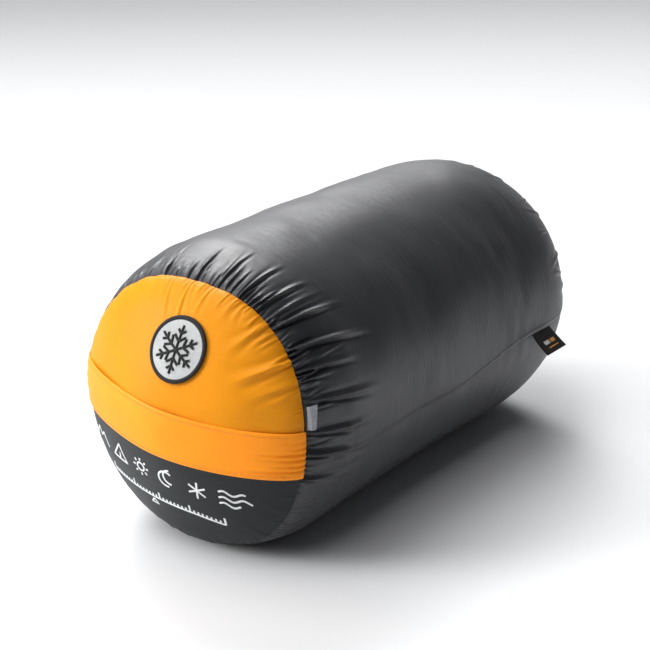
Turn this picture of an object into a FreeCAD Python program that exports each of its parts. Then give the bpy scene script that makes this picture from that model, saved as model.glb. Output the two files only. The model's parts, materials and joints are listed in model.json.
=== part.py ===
"""A mummy sleeping bag packed in its stuff sack, as a parametric FreeCAD document.

Frame: millimetres, +Z up, origin at the centre of the flat that the sack rests on.
The sack lies along Y: its sewn base faces -Y and its gathered mouth faces +Y.
"Along" in the comments is the distance from the base seam towards the mouth.
"""

import FreeCAD, Part
import math
import os

import Sketcher
from FreeCAD import Placement, Rotation, Vector

SIZES = [
    # the stuff sack's outer form
    ("sack_radius", 85.0),        # full radius of the stuffed sack
    ("seam_radius", 76.0),        # radius of the base seam, pulled in by its stitching
    ("barrel_length", 300.0),     # base seam to the pole of the gathered end
    ("base_depth", 35.0),         # how far the base bulges past its seam
    ("base_shoulder", 39.0),      # along: where the wall reaches full radius
    ("mouth_shoulder", 248.0),    # along: where the gathered end starts to turn in
    ("shoulder_arc", 45.0),       # radius of that turn
    ("floor_drop", 6.0),          # how much of the round section the floor flattens
    ("fabric", 0.8),              # sack cloth, thicker than real so that it meshes
    # insets of the nested forms that the thin pieces are cut from
    ("no_inset", 0.0),
    ("tape_outer", 0.9),
    ("tape_inner", 1.7),
    ("contents_inset", 5.0),
    ("base_lean", 6.0),           # room left on -X, where the stuffed base leans away
    # base panels, grab handle and badge
    ("band_tilt", 7.2),           # degrees the base is turned about the sack's axis
    ("band_top", 12.6),
    ("band_bottom", -14.2),
    ("handle_gap", 0.4),
    ("handle_thick", 1.4),
    ("badge_height", 44.0),       # badge centre above the middle of the base
    ("badge_radius", 17.5),
    ("badge_rim", 1.9),
    ("badge_cloth", 0.8),
    ("badge_rim_thick", 1.6),
    ("arm_length", 11.5),
    ("arm_width", 1.7),
    # seams and labels
    ("seam_tape_width", 8.0),
    ("side_seam_angle", 10.0),    # degrees below the horizontal, on +X
    ("label_width", 21.5),
    ("label_drop", 17.5),
    ("label_thick", 1.0),
    ("label_angle", 47.0),        # degrees that the side label points below the horizontal
    ("label_along", 224.0),
    ("care_height", 14.0),
    ("care_width", 8.0),
    ("care_low", 9.0),            # care label's lower end above the sack's axis
    ("care_angle", 18.0),         # degrees that the care label stands off the wall
    # gathered mouth
    ("hem_ring", 15.0),
    ("hem_tube", 5.0),
    ("hem_wall", 0.9),
    ("mouth_radius", 10.0),
    ("flap_radius", 42.0),
    ("cord_radius", 1.3),
    ("cord_bend", 4.0),
    ("strand_offset", 1.6),
    # cord locks, measured up from the barrel's foot
    ("lock_radius", 7.0),
    ("lock_height", 20.0),
    ("lock_bore", 5.2),
    ("lock_floor", 2.0),
    ("slot_foot", 8.0),
    ("slot_height", 4.6),
    ("slot_width", 8.2),
    ("plunger_radius", 5.1),
    ("plunger_foot", 7.6),
    ("plunger_slot_foot", 10.0),
    ("plunger_slot_height", 6.8),
    ("plunger_head_radius", 6.6),
    ("plunger_head_foot", 24.0),
    ("plunger_top", 28.0),
    ("spring_radius", 3.6),
    ("spring_wire", 0.35),
    ("cord_level", 11.3),         # cord's centre above the barrel's foot
    # the sleeping bag, rolled from the hood outwards
    ("roll_pitch", 9.0),          # growth of the roll's radius in each turn
    ("roll_core", 12.0),
    ("roll_shift", 2.0),          # the roll's axis lies this far towards +X
    ("roll_end", 250.0),          # along: the edge of the bag that carries the zip
    ("lining_in", 1.2),
    ("lining_out", 1.7),
    ("fill_in", 1.9),
    ("fill_out", 3.6),
    ("shell_in", 3.8),
    ("shell_out", 4.3),
    ("hem_depth", 5.0),
    ("hood_cord", 0.95),
    ("zip_edge", 3.7),
    ("coil_edge", 1.5),
    ("zip_gap", 0.1),
    ("slider_half", 3.3),
    ("pull_width", 6.0),
    ("pull_length", 24.0),
]
HALF_TURNS = 15       # half turns in the roll
ZIP_FIRST = 5         # half turn at which the zip's top end lies
ZIP_LAST = 11
TUBE_FIRST = 5

doc = FreeCAD.newDocument("packed_sleeping_bag")
sheet = doc.addObject("Spreadsheet::Sheet", "sizes")
for row, (alias, number) in enumerate(SIZES, start=1):
    sheet.set(f"A{row}", alias)
    sheet.set(f"B{row}", str(number))
    sheet.setAlias(f"B{row}", alias)
doc.recompute()

SEAM_Y = "(-(sizes.barrel_length - sizes.base_depth) / 2)"
AXIS_Z = "(sizes.sack_radius - sizes.floor_drop)"
DOME_CENTRE = "((sizes.seam_radius^2 - sizes.base_depth^2) / (2 * sizes.base_depth))"
DOME_RADIUS = "((sizes.seam_radius^2 + sizes.base_depth^2) / (2 * sizes.base_depth))"
nodes = {}


def size(alias):
    """A driving dimension's value, in millimetres or degrees."""
    return float(getattr(sheet, alias))


seam_y = -(size("barrel_length") - size("base_depth")) / 2
axis_z = size("sack_radius") - size("floor_drop")


ALONG_Y = Rotation(Vector(1, 0, 0), -90)      # turns a shape's Z axis to the row's +Y


# ------------------------------------------------------------------ helpers

def bind(item, **expressions):
    """Ties an object's properties to the sheet; a double underscore stands for a dot."""
    for path, expression in expressions.items():
        item.setExpression(path.replace("__", "."), expression)
    return item


def place(item, x="0", y="0", z="0", rotation=None):
    """Sets the turn by value, then ties the position to the sheet."""
    if rotation is not None:
        item.Placement = Placement(Vector(), rotation)
    return bind(item, Placement__Base__x=x, Placement__Base__y=y, Placement__Base__z=z)


def box(name, length, width, height, **where):
    item = doc.addObject("Part::Box", name)
    bind(item, Length=length, Width=width, Height=height)
    return place(item, **where)


def cylinder(name, radius, height, **where):
    item = doc.addObject("Part::Cylinder", name)
    bind(item, Radius=radius, Height=height)
    return place(item, **where)


def sphere(name, radius, **where):
    item = doc.addObject("Part::Sphere", name)
    bind(item, Radius=radius)
    return place(item, **where)


def torus(name, ring, tube, **where):
    item = doc.addObject("Part::Torus", name)
    bind(item, Radius1=ring, Radius2=tube)
    return place(item, **where)


def cut(name, base, tool):
    item = doc.addObject("Part::Cut", name)
    item.Base = base
    item.Tool = tool
    return item


def common(name, first, second):
    item = doc.addObject("Part::Common", name)
    item.Base = first
    item.Tool = second
    return item


def fuse(name, first, second):
    item = doc.addObject("Part::Fuse", name)
    item.Base = first
    item.Tool = second
    return item


def node(label, item):
    """Marks an object as a sub-part that is written to parts/LABEL.step."""
    item.Label = label
    nodes[label] = item
    return item


def feature(label, shape, placement=None):
    """A sub-part whose shape comes from Part's own functions."""
    item = doc.addObject("Part::Feature", label)
    item.Shape = shape
    if placement is not None:
        item.Placement = placement
    return item


def origin_plane(body, role):
    return next(f for f in body.Origin.OriginFeatures if f.Role == role)


def new_sketch(body, name, role):
    sketch = body.newObject("Sketcher::SketchObject", name)
    sketch.AttachmentSupport = (origin_plane(body, role), [""])
    sketch.MapMode = "FlatFace"
    return sketch


def dimension(sketch, name, expression, *terms):
    """Adds a named dimension and ties it to the sheet."""
    index = sketch.addConstraint(Sketcher.Constraint(*terms))
    sketch.renameConstraint(index, name)
    sketch.setExpression(f"Constraints.{name}", expression)


def polygon(sketch, points):
    """A closed chain of lines through the points; returns the index of the first."""
    first = sketch.GeometryCount
    count = len(points)
    for i, point in enumerate(points):
        ahead = points[(i + 1) % count]
        sketch.addGeometry(Part.LineSegment(Vector(*point, 0), Vector(*ahead, 0)), False)
    for i in range(count):
        ahead = first + (i + 1) % count
        sketch.addConstraint(Sketcher.Constraint("Coincident", first + i, 2, ahead, 1))
    return first


def turned_profile(body, name, rows):
    """Revolves a stepped profile about the body's Z axis. rows lists (radius, height) corners,
    each a pair of expressions with its two values."""
    sketch = new_sketch(body, f"{name}_sketch", "XZ_Plane")
    first = polygon(sketch, [(r, h) for (_, r), (_, h) in rows])
    for i, ((radius, r), (height, h)) in enumerate(rows):
        if r:
            dimension(sketch, f"radius_{i}", radius, "DistanceX", -1, 1, first + i, 1, r)
        else:
            sketch.addConstraint(Sketcher.Constraint("PointOnObject", first + i, 1, -2))
        if h:
            dimension(sketch, f"level_{i}", height, "DistanceY", -1, 1, first + i, 1, h)
        else:
            sketch.addConstraint(Sketcher.Constraint("PointOnObject", first + i, 1, -1))
    turn = body.newObject("PartDesign::Revolution", name)
    turn.Profile = sketch
    turn.ReferenceAxis = (sketch, ["V_Axis"])
    turn.Angle = 360
    return turn


def slot_through(body, name, width, foot, height):
    """Pockets a slot right through the body along Y, centred on X = 0."""
    half, low, tall = size(width) / 2, size(foot), size(height)
    sketch = new_sketch(body, f"{name}_sketch", "XZ_Plane")
    first = polygon(sketch, [(-half, low), (half, low), (half, low + tall), (-half, low + tall)])
    for step, kind in ((1, "Vertical"), (2, "Horizontal"), (3, "Vertical")):
        sketch.addConstraint(Sketcher.Constraint(kind, first + step))
    sketch.addConstraint(Sketcher.Constraint("Symmetric", first, 1, first, 2, -2))
    dimension(sketch, "across", f"sizes.{width}", "DistanceX", first, 1, first, 2, 2 * half)
    dimension(sketch, "foot", f"sizes.{foot}", "DistanceY", -1, 1, first, 1, low)
    dimension(sketch, "tall", f"sizes.{height}", "DistanceY", first + 1, 1, first + 1, 2, tall)
    pocket = body.newObject("PartDesign::Pocket", name)
    pocket.Profile = sketch
    pocket.Type = "ThroughAll"
    pocket.SideType = "Symmetric"
    return pocket


# ------------------------------------------------------------------ the sack's nested forms

def envelope(name, inset):
    """The sack's round form, inset by one sheet cell, before the floor flattens it.
    Its sketch's X runs along the sack from the base seam, and its Y is the radius."""
    away = size(inset)
    full, seam = size("sack_radius") - away, size("seam_radius") - away
    pole, depth = size("barrel_length") - away, size("base_depth") - away
    turn, start = size("shoulder_arc") - away, size("mouth_shoulder")
    reach = size("base_shoulder")
    middle = full - turn                      # radius at which the mouth shoulder is centred
    past = pole - start - turn
    cap_x = start + (past ** 2 - middle ** 2) / (2 * past)
    cap_r = pole - cap_x
    lean = math.atan2(middle, start - cap_x)  # where the cap meets the shoulder
    dome_x = (seam ** 2 - depth ** 2) / (2 * depth)
    dome_r = dome_x + depth
    front_r = (reach ** 2 + (full - seam) ** 2) / (2 * (full - seam))
    front_end = math.pi / 2 + math.asin(reach / front_r)
    dome_start = math.pi - math.atan2(seam, dome_x)

    def arc(x, y, radius, begin, end):
        circle = Part.Circle(Vector(x, y, 0), Vector(0, 0, 1), radius)
        return Part.ArcOfCircle(circle, begin, end)

    body = doc.addObject("PartDesign::Body", name)
    sketch = new_sketch(body, f"{name}_sketch", "YZ_Plane")
    dome, front, top, back, cap, spine = range(6)
    sketch.addGeometry([
        arc(dome_x, 0, dome_r, dome_start, math.pi),
        arc(reach, full - front_r, front_r, math.pi / 2, front_end),
        Part.LineSegment(Vector(reach, full, 0), Vector(start, full, 0)),
        arc(start, middle, turn, lean, math.pi / 2),
        arc(cap_x, 0, cap_r, 0, lean),
        Part.LineSegment(Vector(-depth, 0, 0), Vector(pole, 0, 0)),
    ], False)
    sketch.addConstraint([
        Sketcher.Constraint("Coincident", dome, 1, front, 2),
        Sketcher.Constraint("Tangent", front, 1, top, 1),
        Sketcher.Constraint("Tangent", top, 2, back, 2),
        Sketcher.Constraint("Tangent", back, 1, cap, 2),
        Sketcher.Constraint("Coincident", cap, 1, spine, 2),
        Sketcher.Constraint("Coincident", spine, 1, dome, 2),
        Sketcher.Constraint("PointOnObject", spine, 1, -1),
        Sketcher.Constraint("PointOnObject", spine, 2, -1),
        Sketcher.Constraint("PointOnObject", dome, 3, -1),
        Sketcher.Constraint("PointOnObject", cap, 3, -1),
        Sketcher.Constraint("PointOnObject", dome, 1, -2),
        Sketcher.Constraint("Horizontal", top),
    ])
    less = f" - sizes.{inset}"
    dimension(sketch, "depth", f"sizes.base_depth{less}", "DistanceX", dome, 2, -1, 1, depth)
    dimension(sketch, "seam", f"sizes.seam_radius{less}", "DistanceY", -1, 1, dome, 1, seam)
    dimension(sketch, "reach", "sizes.base_shoulder", "DistanceX", -1, 1, top, 1, reach)
    dimension(sketch, "full", f"sizes.sack_radius{less}", "DistanceY", -1, 1, top, 1, full)
    dimension(sketch, "start", "sizes.mouth_shoulder", "DistanceX", -1, 1, top, 2, start)
    dimension(sketch, "turn", f"sizes.shoulder_arc{less}", "Radius", back, turn)
    dimension(sketch, "pole", f"sizes.barrel_length{less}", "DistanceX", -1, 1, cap, 1, pole)
    turned = body.newObject("PartDesign::Revolution", f"{name}_turned")
    turned.Profile = sketch
    turned.ReferenceAxis = (sketch, ["H_Axis"])
    turned.Angle = 360
    place(body, y=SEAM_Y, z=AXIS_Z)
    return body


def rest_on_floor(name, form, level):
    """Flattens a round form at a height above the floor."""
    block = box(f"{name}_floor", "400", "700", "100", x="-200", y="-350", z=f"{level} - 100")
    return cut(name, form, block)


outer_form = envelope("outer_form", "no_inset")
inner_form = envelope("inner_form", "fabric")
tape_outer_form = envelope("tape_outer_form", "tape_outer")
tape_inner_form = envelope("tape_inner_form", "tape_inner")
contents_form = rest_on_floor("contents_flat", envelope("contents_form", "contents_inset"),
                              "sizes.tape_inner + 0.7")
lean_form = envelope("lean_form", "contents_inset")
place(lean_form, x="sizes.base_lean", y=SEAM_Y, z=AXIS_Z)
base_end = box("base_end", "400", "100", "400", x="-200", y=f"{SEAM_Y} - 60", z="-100")
contents_room = cut("contents_room", contents_form, cut("beyond_lean", base_end, lean_form))

sack_skin = cut(
    "sack_skin",
    rest_on_floor("outer_flat", outer_form, "0"),
    rest_on_floor("inner_flat", inner_form, "sizes.fabric"),
)
tape_skin = cut(
    "tape_skin",
    rest_on_floor("tape_outer_flat", tape_outer_form, "sizes.tape_outer"),
    rest_on_floor("tape_inner_flat", tape_inner_form, "sizes.tape_inner"),
)


# ------------------------------------------------------------------ side wall and its seams

base_half = box("base_half", "400", "200", "400", x="-200", y=f"{SEAM_Y} - 200", z="-100")
mouth_hole = cylinder("mouth_hole", "sizes.mouth_radius", "80",
                      y=f"{SEAM_Y} + sizes.barrel_length - 40", z=AXIS_Z, rotation=ALONG_Y)
node("side_wall", cut("side_wall", cut("wall_closed", sack_skin, base_half), mouth_hole))

# The side seam's allowance is a flat strip inside the wall, at the seam's angle on +X.
SEAM_TURN = Rotation(Vector(0, 1, 0), size("side_seam_angle"))
lean_x = size("seam_tape_width") / 2 * math.sin(math.radians(size("side_seam_angle")))
strip = box("side_seam_strip", "150", "sizes.mouth_shoulder - 14", "sizes.seam_tape_width",
            x=f"0 - {lean_x:.4f}", y=f"{SEAM_Y} + 12",
            z=f"{AXIS_Z} - sizes.seam_tape_width / 2 * cos(sizes.side_seam_angle)",
            rotation=SEAM_TURN)
node("side_seam_tape", common("side_seam_tape", tape_skin, strip))

# The base seam's binding runs right round, just inside the wall.
binding_slab = box("binding_slab", "400", "sizes.seam_tape_width", "400", x="-200",
                   y=f"{SEAM_Y} + 1.5", z="-100")
node("base_seam_binding", common("base_seam_binding", tape_skin, binding_slab))


# ------------------------------------------------------------------ base panels, handle, badge

BASE_TURN = Rotation(Vector(0, 1, 0), size("band_tilt"))
DOME_Y = f"({SEAM_Y} + {DOME_CENTRE})"


def above_line(name, level):
    """Everything above a level on the turned base. The level is a sheet cell or 0."""
    tilt = math.radians(size("band_tilt"))
    side = f"(300 * {math.cos(tilt):.6f} - {level} * {math.sin(tilt):.6f})"
    rise = f"(300 * {math.sin(tilt):.6f} + {level} * {math.cos(tilt):.6f})"
    return box(name, "600", "400", "300", x=f"0 - {side}", y=f"{SEAM_Y} - 300",
               z=f"{AXIS_Z} + {rise}", rotation=BASE_TURN)


base_skin = common("base_skin", sack_skin, base_half)
node("base_upper_panel", common("base_upper_panel", base_skin, above_line("upper_side", "0")))
node("base_lower_panel", cut("base_lower_panel", base_skin, above_line("lower_side", "0")))

handle_shell = cut(
    "handle_shell",
    sphere("handle_outer", f"{DOME_RADIUS} + sizes.handle_gap + sizes.handle_thick",
           y=DOME_Y, z=AXIS_Z),
    sphere("handle_inner", f"{DOME_RADIUS} + sizes.handle_gap", y=DOME_Y, z=AXIS_Z),
)
handle_disc = common(
    "handle_disc", handle_shell,
    cylinder("handle_ends", "sizes.seam_radius - 0.6", "80", y=f"{SEAM_Y} - 80", z=AXIS_Z,
             rotation=ALONG_Y),
)
band_below_top = cut("band_below_top", handle_disc, above_line("band_top_edge", "sizes.band_top"))
node("grab_handle", common("grab_handle", band_below_top,
                           above_line("band_bottom_edge", "sizes.band_bottom")))

# The badge lies along the dome: its axis runs from the dome's centre through the badge.
badge_lift = math.degrees(math.asin(size("badge_height") / (
    (size("seam_radius") ** 2 + size("base_depth") ** 2) / (2 * size("base_depth")))))
BADGE_TURN = BASE_TURN * Rotation(Vector(1, 0, 0), 90 - badge_lift)


def dome_layer(name, low, high):
    """A layer on the base's dome, between two heights above its cloth."""
    outer = sphere(f"{name}_out", f"{DOME_RADIUS} + {high}", y=DOME_Y, z=AXIS_Z)
    inner = sphere(f"{name}_in", f"{DOME_RADIUS} + {low}", y=DOME_Y, z=AXIS_Z)
    return cut(name, outer, inner)


def badge_column(name, radius):
    return cylinder(name, radius, "200", y=DOME_Y, z=AXIS_Z, rotation=BADGE_TURN)


node("badge_ground", common(
    "badge_ground", dome_layer("ground_layer", "0.1", "0.1 + sizes.badge_cloth"),
    badge_column("ground_column", "sizes.badge_radius - sizes.badge_rim - 0.05")))
rim_ring = cut("rim_ring", badge_column("rim_column", "sizes.badge_radius"),
               badge_column("rim_hole", "sizes.badge_radius - sizes.badge_rim"))
node("badge_border", common(
    "badge_border", dome_layer("rim_layer", "0.1", "0.1 + sizes.badge_rim_thick"), rim_ring))


def snow_star():
    """A plain six-armed star with two side branches on each arm, as a prism along Z."""
    body = doc.addObject("PartDesign::Body", "star_prism")
    half, reach = size("arm_width") / 2, size("arm_length")
    slope = math.tan(math.radians(60))
    barb = 3.4                         # how far a side branch reaches out from its arm
    sketch = new_sketch(body, "star_arm_sketch", "XY_Plane")
    points = [(-half, 0), (half, 0)]
    for foot in (0.36 * reach, 0.68 * reach):
        step = half * 2.2
        points += [(half, foot), (half + barb, foot + barb / slope * 1.0 + 1.6),
                   (half + barb, foot + barb / slope + 1.6 + step), (half, foot + step)]
        barb *= 0.66
    points += [(half, reach), (-half, reach)]
    points += [(-x, y) for x, y in reversed(points[2:-2])]
    polygon(sketch, points)
    for i in range(len(points)):
        sketch.addConstraint(Sketcher.Constraint("Block", i))
    pad = body.newObject("PartDesign::Pad", "star_arm")
    pad.Profile = sketch
    pad.Length = 200
    doc.recompute()
    pattern = body.newObject("PartDesign::PolarPattern", "star_arms")
    pattern.Originals = [pad]
    pattern.Axis = (sketch, ["N_Axis"])
    pattern.Angle = 360
    pattern.Occurrences = 6
    body.Tip = pattern
    return place(body, y=DOME_Y, z=AXIS_Z, rotation=BADGE_TURN)


node("badge_emblem", common(
    "badge_emblem",
    dome_layer("emblem_layer", "0.15 + sizes.badge_cloth", "0.65 + sizes.badge_cloth"),
    snow_star()))


# ------------------------------------------------------------------ sewn-in labels

def folded_label(label, width, drop, where, rotation):
    """A woven label folded double: two plies along +X, width along Y, rolled sewn edge at 0."""
    plies = box(f"{label}_plies", drop, width, "sizes.label_thick")
    gap = box(f"{label}_gap", f"{drop} - 1.8", f"{width} + 2", "0.2",
              x="0.8", y="-1", z="(sizes.label_thick - 0.2) / 2")
    edge = cylinder(f"{label}_edge", "sizes.label_thick / 2", width,
                    z="sizes.label_thick / 2", rotation=ALONG_Y)
    folded = cut(label, fuse(f"{label}_solid", plies, edge), gap)
    place(folded, rotation=rotation, **where)
    return node(label, folded)


label_radius = size("sack_radius") + 0.6
label_x = label_radius * math.cos(math.radians(size("side_seam_angle") / 2))
label_z = label_radius * math.sin(math.radians(size("side_seam_angle") / 2))
folded_label(
    "side_label", "sizes.label_width", "sizes.label_drop",
    dict(x=f"{label_x:.4f}", y=f"{SEAM_Y} + sizes.label_along", z=f"{AXIS_Z} - {label_z:.4f}"),
    Rotation(Vector(0, 1, 0), size("label_angle")))

care_x = math.sqrt(size("seam_radius") ** 2 - (size("care_low") + size("care_height") / 2) ** 2)
folded_label(
    "care_label", "sizes.care_height", "sizes.care_width",
    dict(x=f"{care_x + 2.6:.4f}", y=f"{SEAM_Y} + 1.2", z=f"{AXIS_Z} + sizes.care_low"),
    Rotation(Vector(0, 0, 1), 90 - size("care_angle")) * Rotation(Vector(1, 0, 0), 90))


# ------------------------------------------------------------------ the gathered mouth

HEM_Y = f"({SEAM_Y} + sizes.barrel_length + sizes.hem_tube + 0.1)"
hem_y = seam_y + size("barrel_length") + size("hem_tube") + 0.1
strand_x = size("strand_offset")
bend = size("cord_bend")
ring = size("hem_ring")
# Angle from the top of the ring at which the cord leaves it, so that the strands end up
# strand_offset either side of the middle after a quarter turn.
leave = math.asin(strand_x / math.hypot(ring, bend)) + math.atan2(bend, ring)
strand_z = ring * math.cos(leave) + bend * math.sin(leave)

hem_solid = torus("hem_solid", "sizes.hem_ring", "sizes.hem_tube", y=HEM_Y, z=AXIS_Z,
                  rotation=ALONG_Y)
hem_channel = torus("hem_channel", "sizes.hem_ring", "sizes.hem_tube - sizes.hem_wall",
                    y=HEM_Y, z=AXIS_Z, rotation=ALONG_Y)
hem_exit = box("hem_exit", "2 * sizes.strand_offset + 3.4", "8", "3.6",
               x="-sizes.strand_offset - 1.7", y=f"{HEM_Y} + 1",
               z=f"{AXIS_Z} + {strand_z:.4f} - 1.8")
node("mouth_hem", cut("mouth_hem", cut("hem_hollow", hem_solid, hem_channel), hem_exit))

CAP_INSET = "(sizes.fabric + 0.4)"
cap_middle = size("sack_radius") - size("shoulder_arc")
cap_past = size("barrel_length") - size("mouth_shoulder") - size("shoulder_arc")
cap_centre = size("mouth_shoulder") + (cap_past ** 2 - cap_middle ** 2) / (2 * cap_past)
cap_radius = size("barrel_length") - cap_centre
flap_shell = cut(
    "flap_shell",
    sphere("flap_outer", f"{cap_radius:.4f} - {CAP_INSET}", y=f"{SEAM_Y} + {cap_centre:.4f}",
           z=AXIS_Z),
    sphere("flap_inner", f"{cap_radius:.4f} - {CAP_INSET} - sizes.fabric",
           y=f"{SEAM_Y} + {cap_centre:.4f}", z=AXIS_Z))
node("dust_flap", common(
    "dust_flap", flap_shell,
    cylinder("flap_round", "sizes.flap_radius", "60",
             y=f"{SEAM_Y} + sizes.barrel_length - 40", z=AXIS_Z, rotation=ALONG_Y)))


def swept_round(path, radius, start, heading):
    """A round bar along a wire, from a point and heading at its start."""
    section = Part.Wire(Part.makeCircle(radius, start, heading))
    return path.makePipeShell([section], True, True)


def drawcord_shape():
    """One cord: round the hem's channel, out through its gap and into the lock."""
    ends = []
    for side in (1, -1):
        on_ring = Vector(side * ring * math.sin(leave), hem_y, axis_z + ring * math.cos(leave))
        inward = Vector(-side * math.cos(leave), 0, math.sin(leave))
        out = Vector(0, 1, 0)
        middle = on_ring + inward * (bend * math.sin(math.pi / 4)) + out * (
            bend * (1 - math.cos(math.pi / 4)))
        corner = on_ring + inward * bend + out * bend
        ends.append((on_ring, middle, corner))
    tip_y = hem_y + size("hem_tube") + 1.5 + 2 * size("lock_radius") - 1.0
    bottom = Vector(0, hem_y, axis_z - ring)
    (ring_a, mid_a, turn_a), (ring_b, mid_b, turn_b) = ends
    tip_a = Vector(turn_a.x, tip_y, turn_a.z)
    tip_b = Vector(turn_b.x, tip_y, turn_b.z)
    path = Part.Wire([
        Part.LineSegment(tip_a, turn_a).toShape(),
        Part.Arc(turn_a, mid_a, ring_a).toShape(),
        Part.Arc(ring_a, bottom, ring_b).toShape(),
        Part.Arc(ring_b, mid_b, turn_b).toShape(),
        Part.LineSegment(turn_b, tip_b).toShape(),
    ])
    return swept_round(path, size("cord_radius"), tip_a, Vector(0, -1, 0))


node("drawcord", feature("drawcord", drawcord_shape()))


# ------------------------------------------------------------------ cord locks

def cell(alias):
    return (f"sizes.{alias}", size(alias))


NIL = ("0", 0.0)


def cord_lock(prefix, x, y, z):
    """A sprung cord lock standing on Z: a barrel, a plunger that is pressed down, its spring.
    x, y and z are expressions for the centre of the barrel's foot."""
    barrel = doc.addObject("PartDesign::Body", f"{prefix}_barrel")
    turned_profile(barrel, f"{prefix}_barrel_turned", [
        (NIL, NIL), (cell("lock_radius"), NIL), (cell("lock_radius"), cell("lock_height")),
        (cell("lock_bore"), cell("lock_height")), (cell("lock_bore"), cell("lock_floor")),
        (NIL, cell("lock_floor")),
    ])
    doc.recompute()
    slot_through(barrel, f"{prefix}_barrel_slot", "slot_width", "slot_foot", "slot_height")
    place(barrel, x=x, y=y, z=z)
    node(f"{prefix}_barrel", barrel)

    plunger = doc.addObject("PartDesign::Body", f"{prefix}_plunger")
    turned_profile(plunger, f"{prefix}_plunger_turned", [
        (NIL, cell("plunger_foot")), (cell("plunger_radius"), cell("plunger_foot")),
        (cell("plunger_radius"), cell("plunger_head_foot")),
        (cell("plunger_head_radius"), cell("plunger_head_foot")),
        (cell("plunger_head_radius"), cell("plunger_top")), (NIL, cell("plunger_top")),
    ])
    doc.recompute()
    slot_through(plunger, f"{prefix}_plunger_slot", "slot_width", "plunger_slot_foot",
                 "plunger_slot_height")
    place(plunger, x=x, y=y, z=z)
    node(f"{prefix}_plunger", plunger)

    wire = size("spring_wire")
    room = size("plunger_foot") - size("lock_floor") - 2 * wire - 0.2
    helix = doc.addObject("Part::Helix", f"{prefix}_helix")
    helix.Pitch = room / 4
    helix.Height = room
    helix.SegmentLength = 0.25
    bind(helix, Radius="sizes.spring_radius")
    section = doc.addObject("Part::Circle", f"{prefix}_wire")
    bind(section, Radius="sizes.spring_wire")
    place(section, x="sizes.spring_radius", rotation=Rotation(Vector(1, 0, 0), 90))
    spring = doc.addObject("Part::Sweep", f"{prefix}_spring")
    spring.Sections = [section]
    doc.recompute()
    spring.Spine = (helix, [f"Edge{k + 1}" for k in range(len(helix.Shape.Edges))])
    spring.Solid = True
    spring.Frenet = True
    place(spring, x=x, y=y, z=f"{z} + sizes.lock_floor + sizes.spring_wire + 0.1")
    node(f"{prefix}_spring", spring)


cord_lock("cord_lock", "0", f"{HEM_Y} + sizes.hem_tube + 1.5 + sizes.lock_radius",
          f"{AXIS_Z} + {strand_z:.4f} - sizes.cord_level")


# ------------------------------------------------------------------ the rolled sleeping bag

half_step = size("roll_pitch") / 2


def roll_arc(turn, away):
    """Centre and radius of one half turn of the roll, at an offset from its middle line."""
    centre_x = -half_step / 2 if turn % 2 == 0 else half_step / 2
    return centre_x + size("roll_shift"), size("roll_core") + turn * half_step + away


def roll_point(turn, away, angle, level):
    x, radius = roll_arc(turn, away)
    return Vector(x + radius * math.cos(angle), level, axis_z + radius * math.sin(angle))


def roll_chain(first, last, away, level):
    """The half turns from first up to last, at an offset, as arcs in the plane Y = level."""
    edges = []
    for turn in range(first, last):
        begin = turn * math.pi
        stops = [roll_point(turn, away, begin + f * math.pi, level) for f in (0, 0.5, 1)]
        edges.append(Part.Arc(*stops).toShape())
    return edges


def line(a, b):
    return Part.LineSegment(a, b).toShape()


def extruded(edges, depth):
    wire = Part.Wire(Part.__sortEdges__(edges))
    return Part.Face(wire).extrude(Vector(0, depth, 0))


def hairpin(near, far, low, high):
    """One layer of the flattened bag, rolled: out along one side, round the foot, and back."""
    begin, end = 0, HALF_TURNS
    last = end - 1
    tip = roll_point(last, 0, end * math.pi, low)
    down = Vector(0, 0, -1 if end % 2 else 1)
    edges = []
    for away in (far, near):
        edges += roll_chain(begin, end, away, low)
        edges += roll_chain(begin, end, -away, low)
        outside = roll_point(last, away, end * math.pi, low)
        inside = roll_point(last, -away, end * math.pi, low)
        edges.append(Part.Arc(outside, tip + down * away, inside).toShape())
    for side in (1, -1):
        edges.append(line(roll_point(0, side * near, 0, low), roll_point(0, side * far, 0, low)))
    return extruded(edges, high - low)


def ribbon(first, last, near, far, low, high):
    """A strip that follows part of the roll, between two offsets and two levels."""
    edges = roll_chain(first, last, near, low) + roll_chain(first, last, far, low)
    edges.append(line(roll_point(first, near, first * math.pi, low),
                      roll_point(first, far, first * math.pi, low)))
    edges.append(line(roll_point(last - 1, near, last * math.pi, low),
                      roll_point(last - 1, far, last * math.pi, low)))
    return extruded(edges, high - low)


doc.recompute()
inside_sack = contents_room.Shape.copy()
low_y = seam_y - size("base_depth")
edge_y = seam_y + size("roll_end")
tape_y = edge_y + 0.8            # the zip's tapes
coil_y = tape_y + 1.3            # its coils, on top of them

layers = {
    "shell_fabric": (size("shell_in"), size("shell_out"), tape_y + 0.5),
    "insulation": (size("fill_in"), size("fill_out"), edge_y),
    "lining_fabric": (size("lining_in"), size("lining_out"), edge_y),
}
for label, (near, far, high) in layers.items():
    trimmed = hairpin(near, far, low_y, high).common(inside_sack)
    # Trimming can leave a loose crumb at the base, which isn't part of the layer.
    node(label, feature(label, max(trimmed.Solids, key=lambda solid: solid.Volume)))

# The insulated draft tube lies behind the zip, between the two linings.
node("draft_tube", feature("draft_tube", ribbon(
    TUBE_FIRST, ZIP_LAST, -0.9, 0.9, edge_y - 30, edge_y - 1)))

near, far = size("zip_gap"), size("zip_edge")
tapes = [ribbon(ZIP_FIRST, ZIP_LAST, side * (near + 0.4), side * far, tape_y, tape_y + 0.5)
         for side in (1, -1)]
node("zip_tapes", feature("zip_tapes", Part.Compound(tapes)))
coils = [ribbon(ZIP_FIRST, ZIP_LAST, side * near, side * size("coil_edge"), coil_y, coil_y + 1.8)
         for side in (1, -1)]
node("zip_coils", feature("zip_coils", Part.Compound(coils)))

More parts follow.
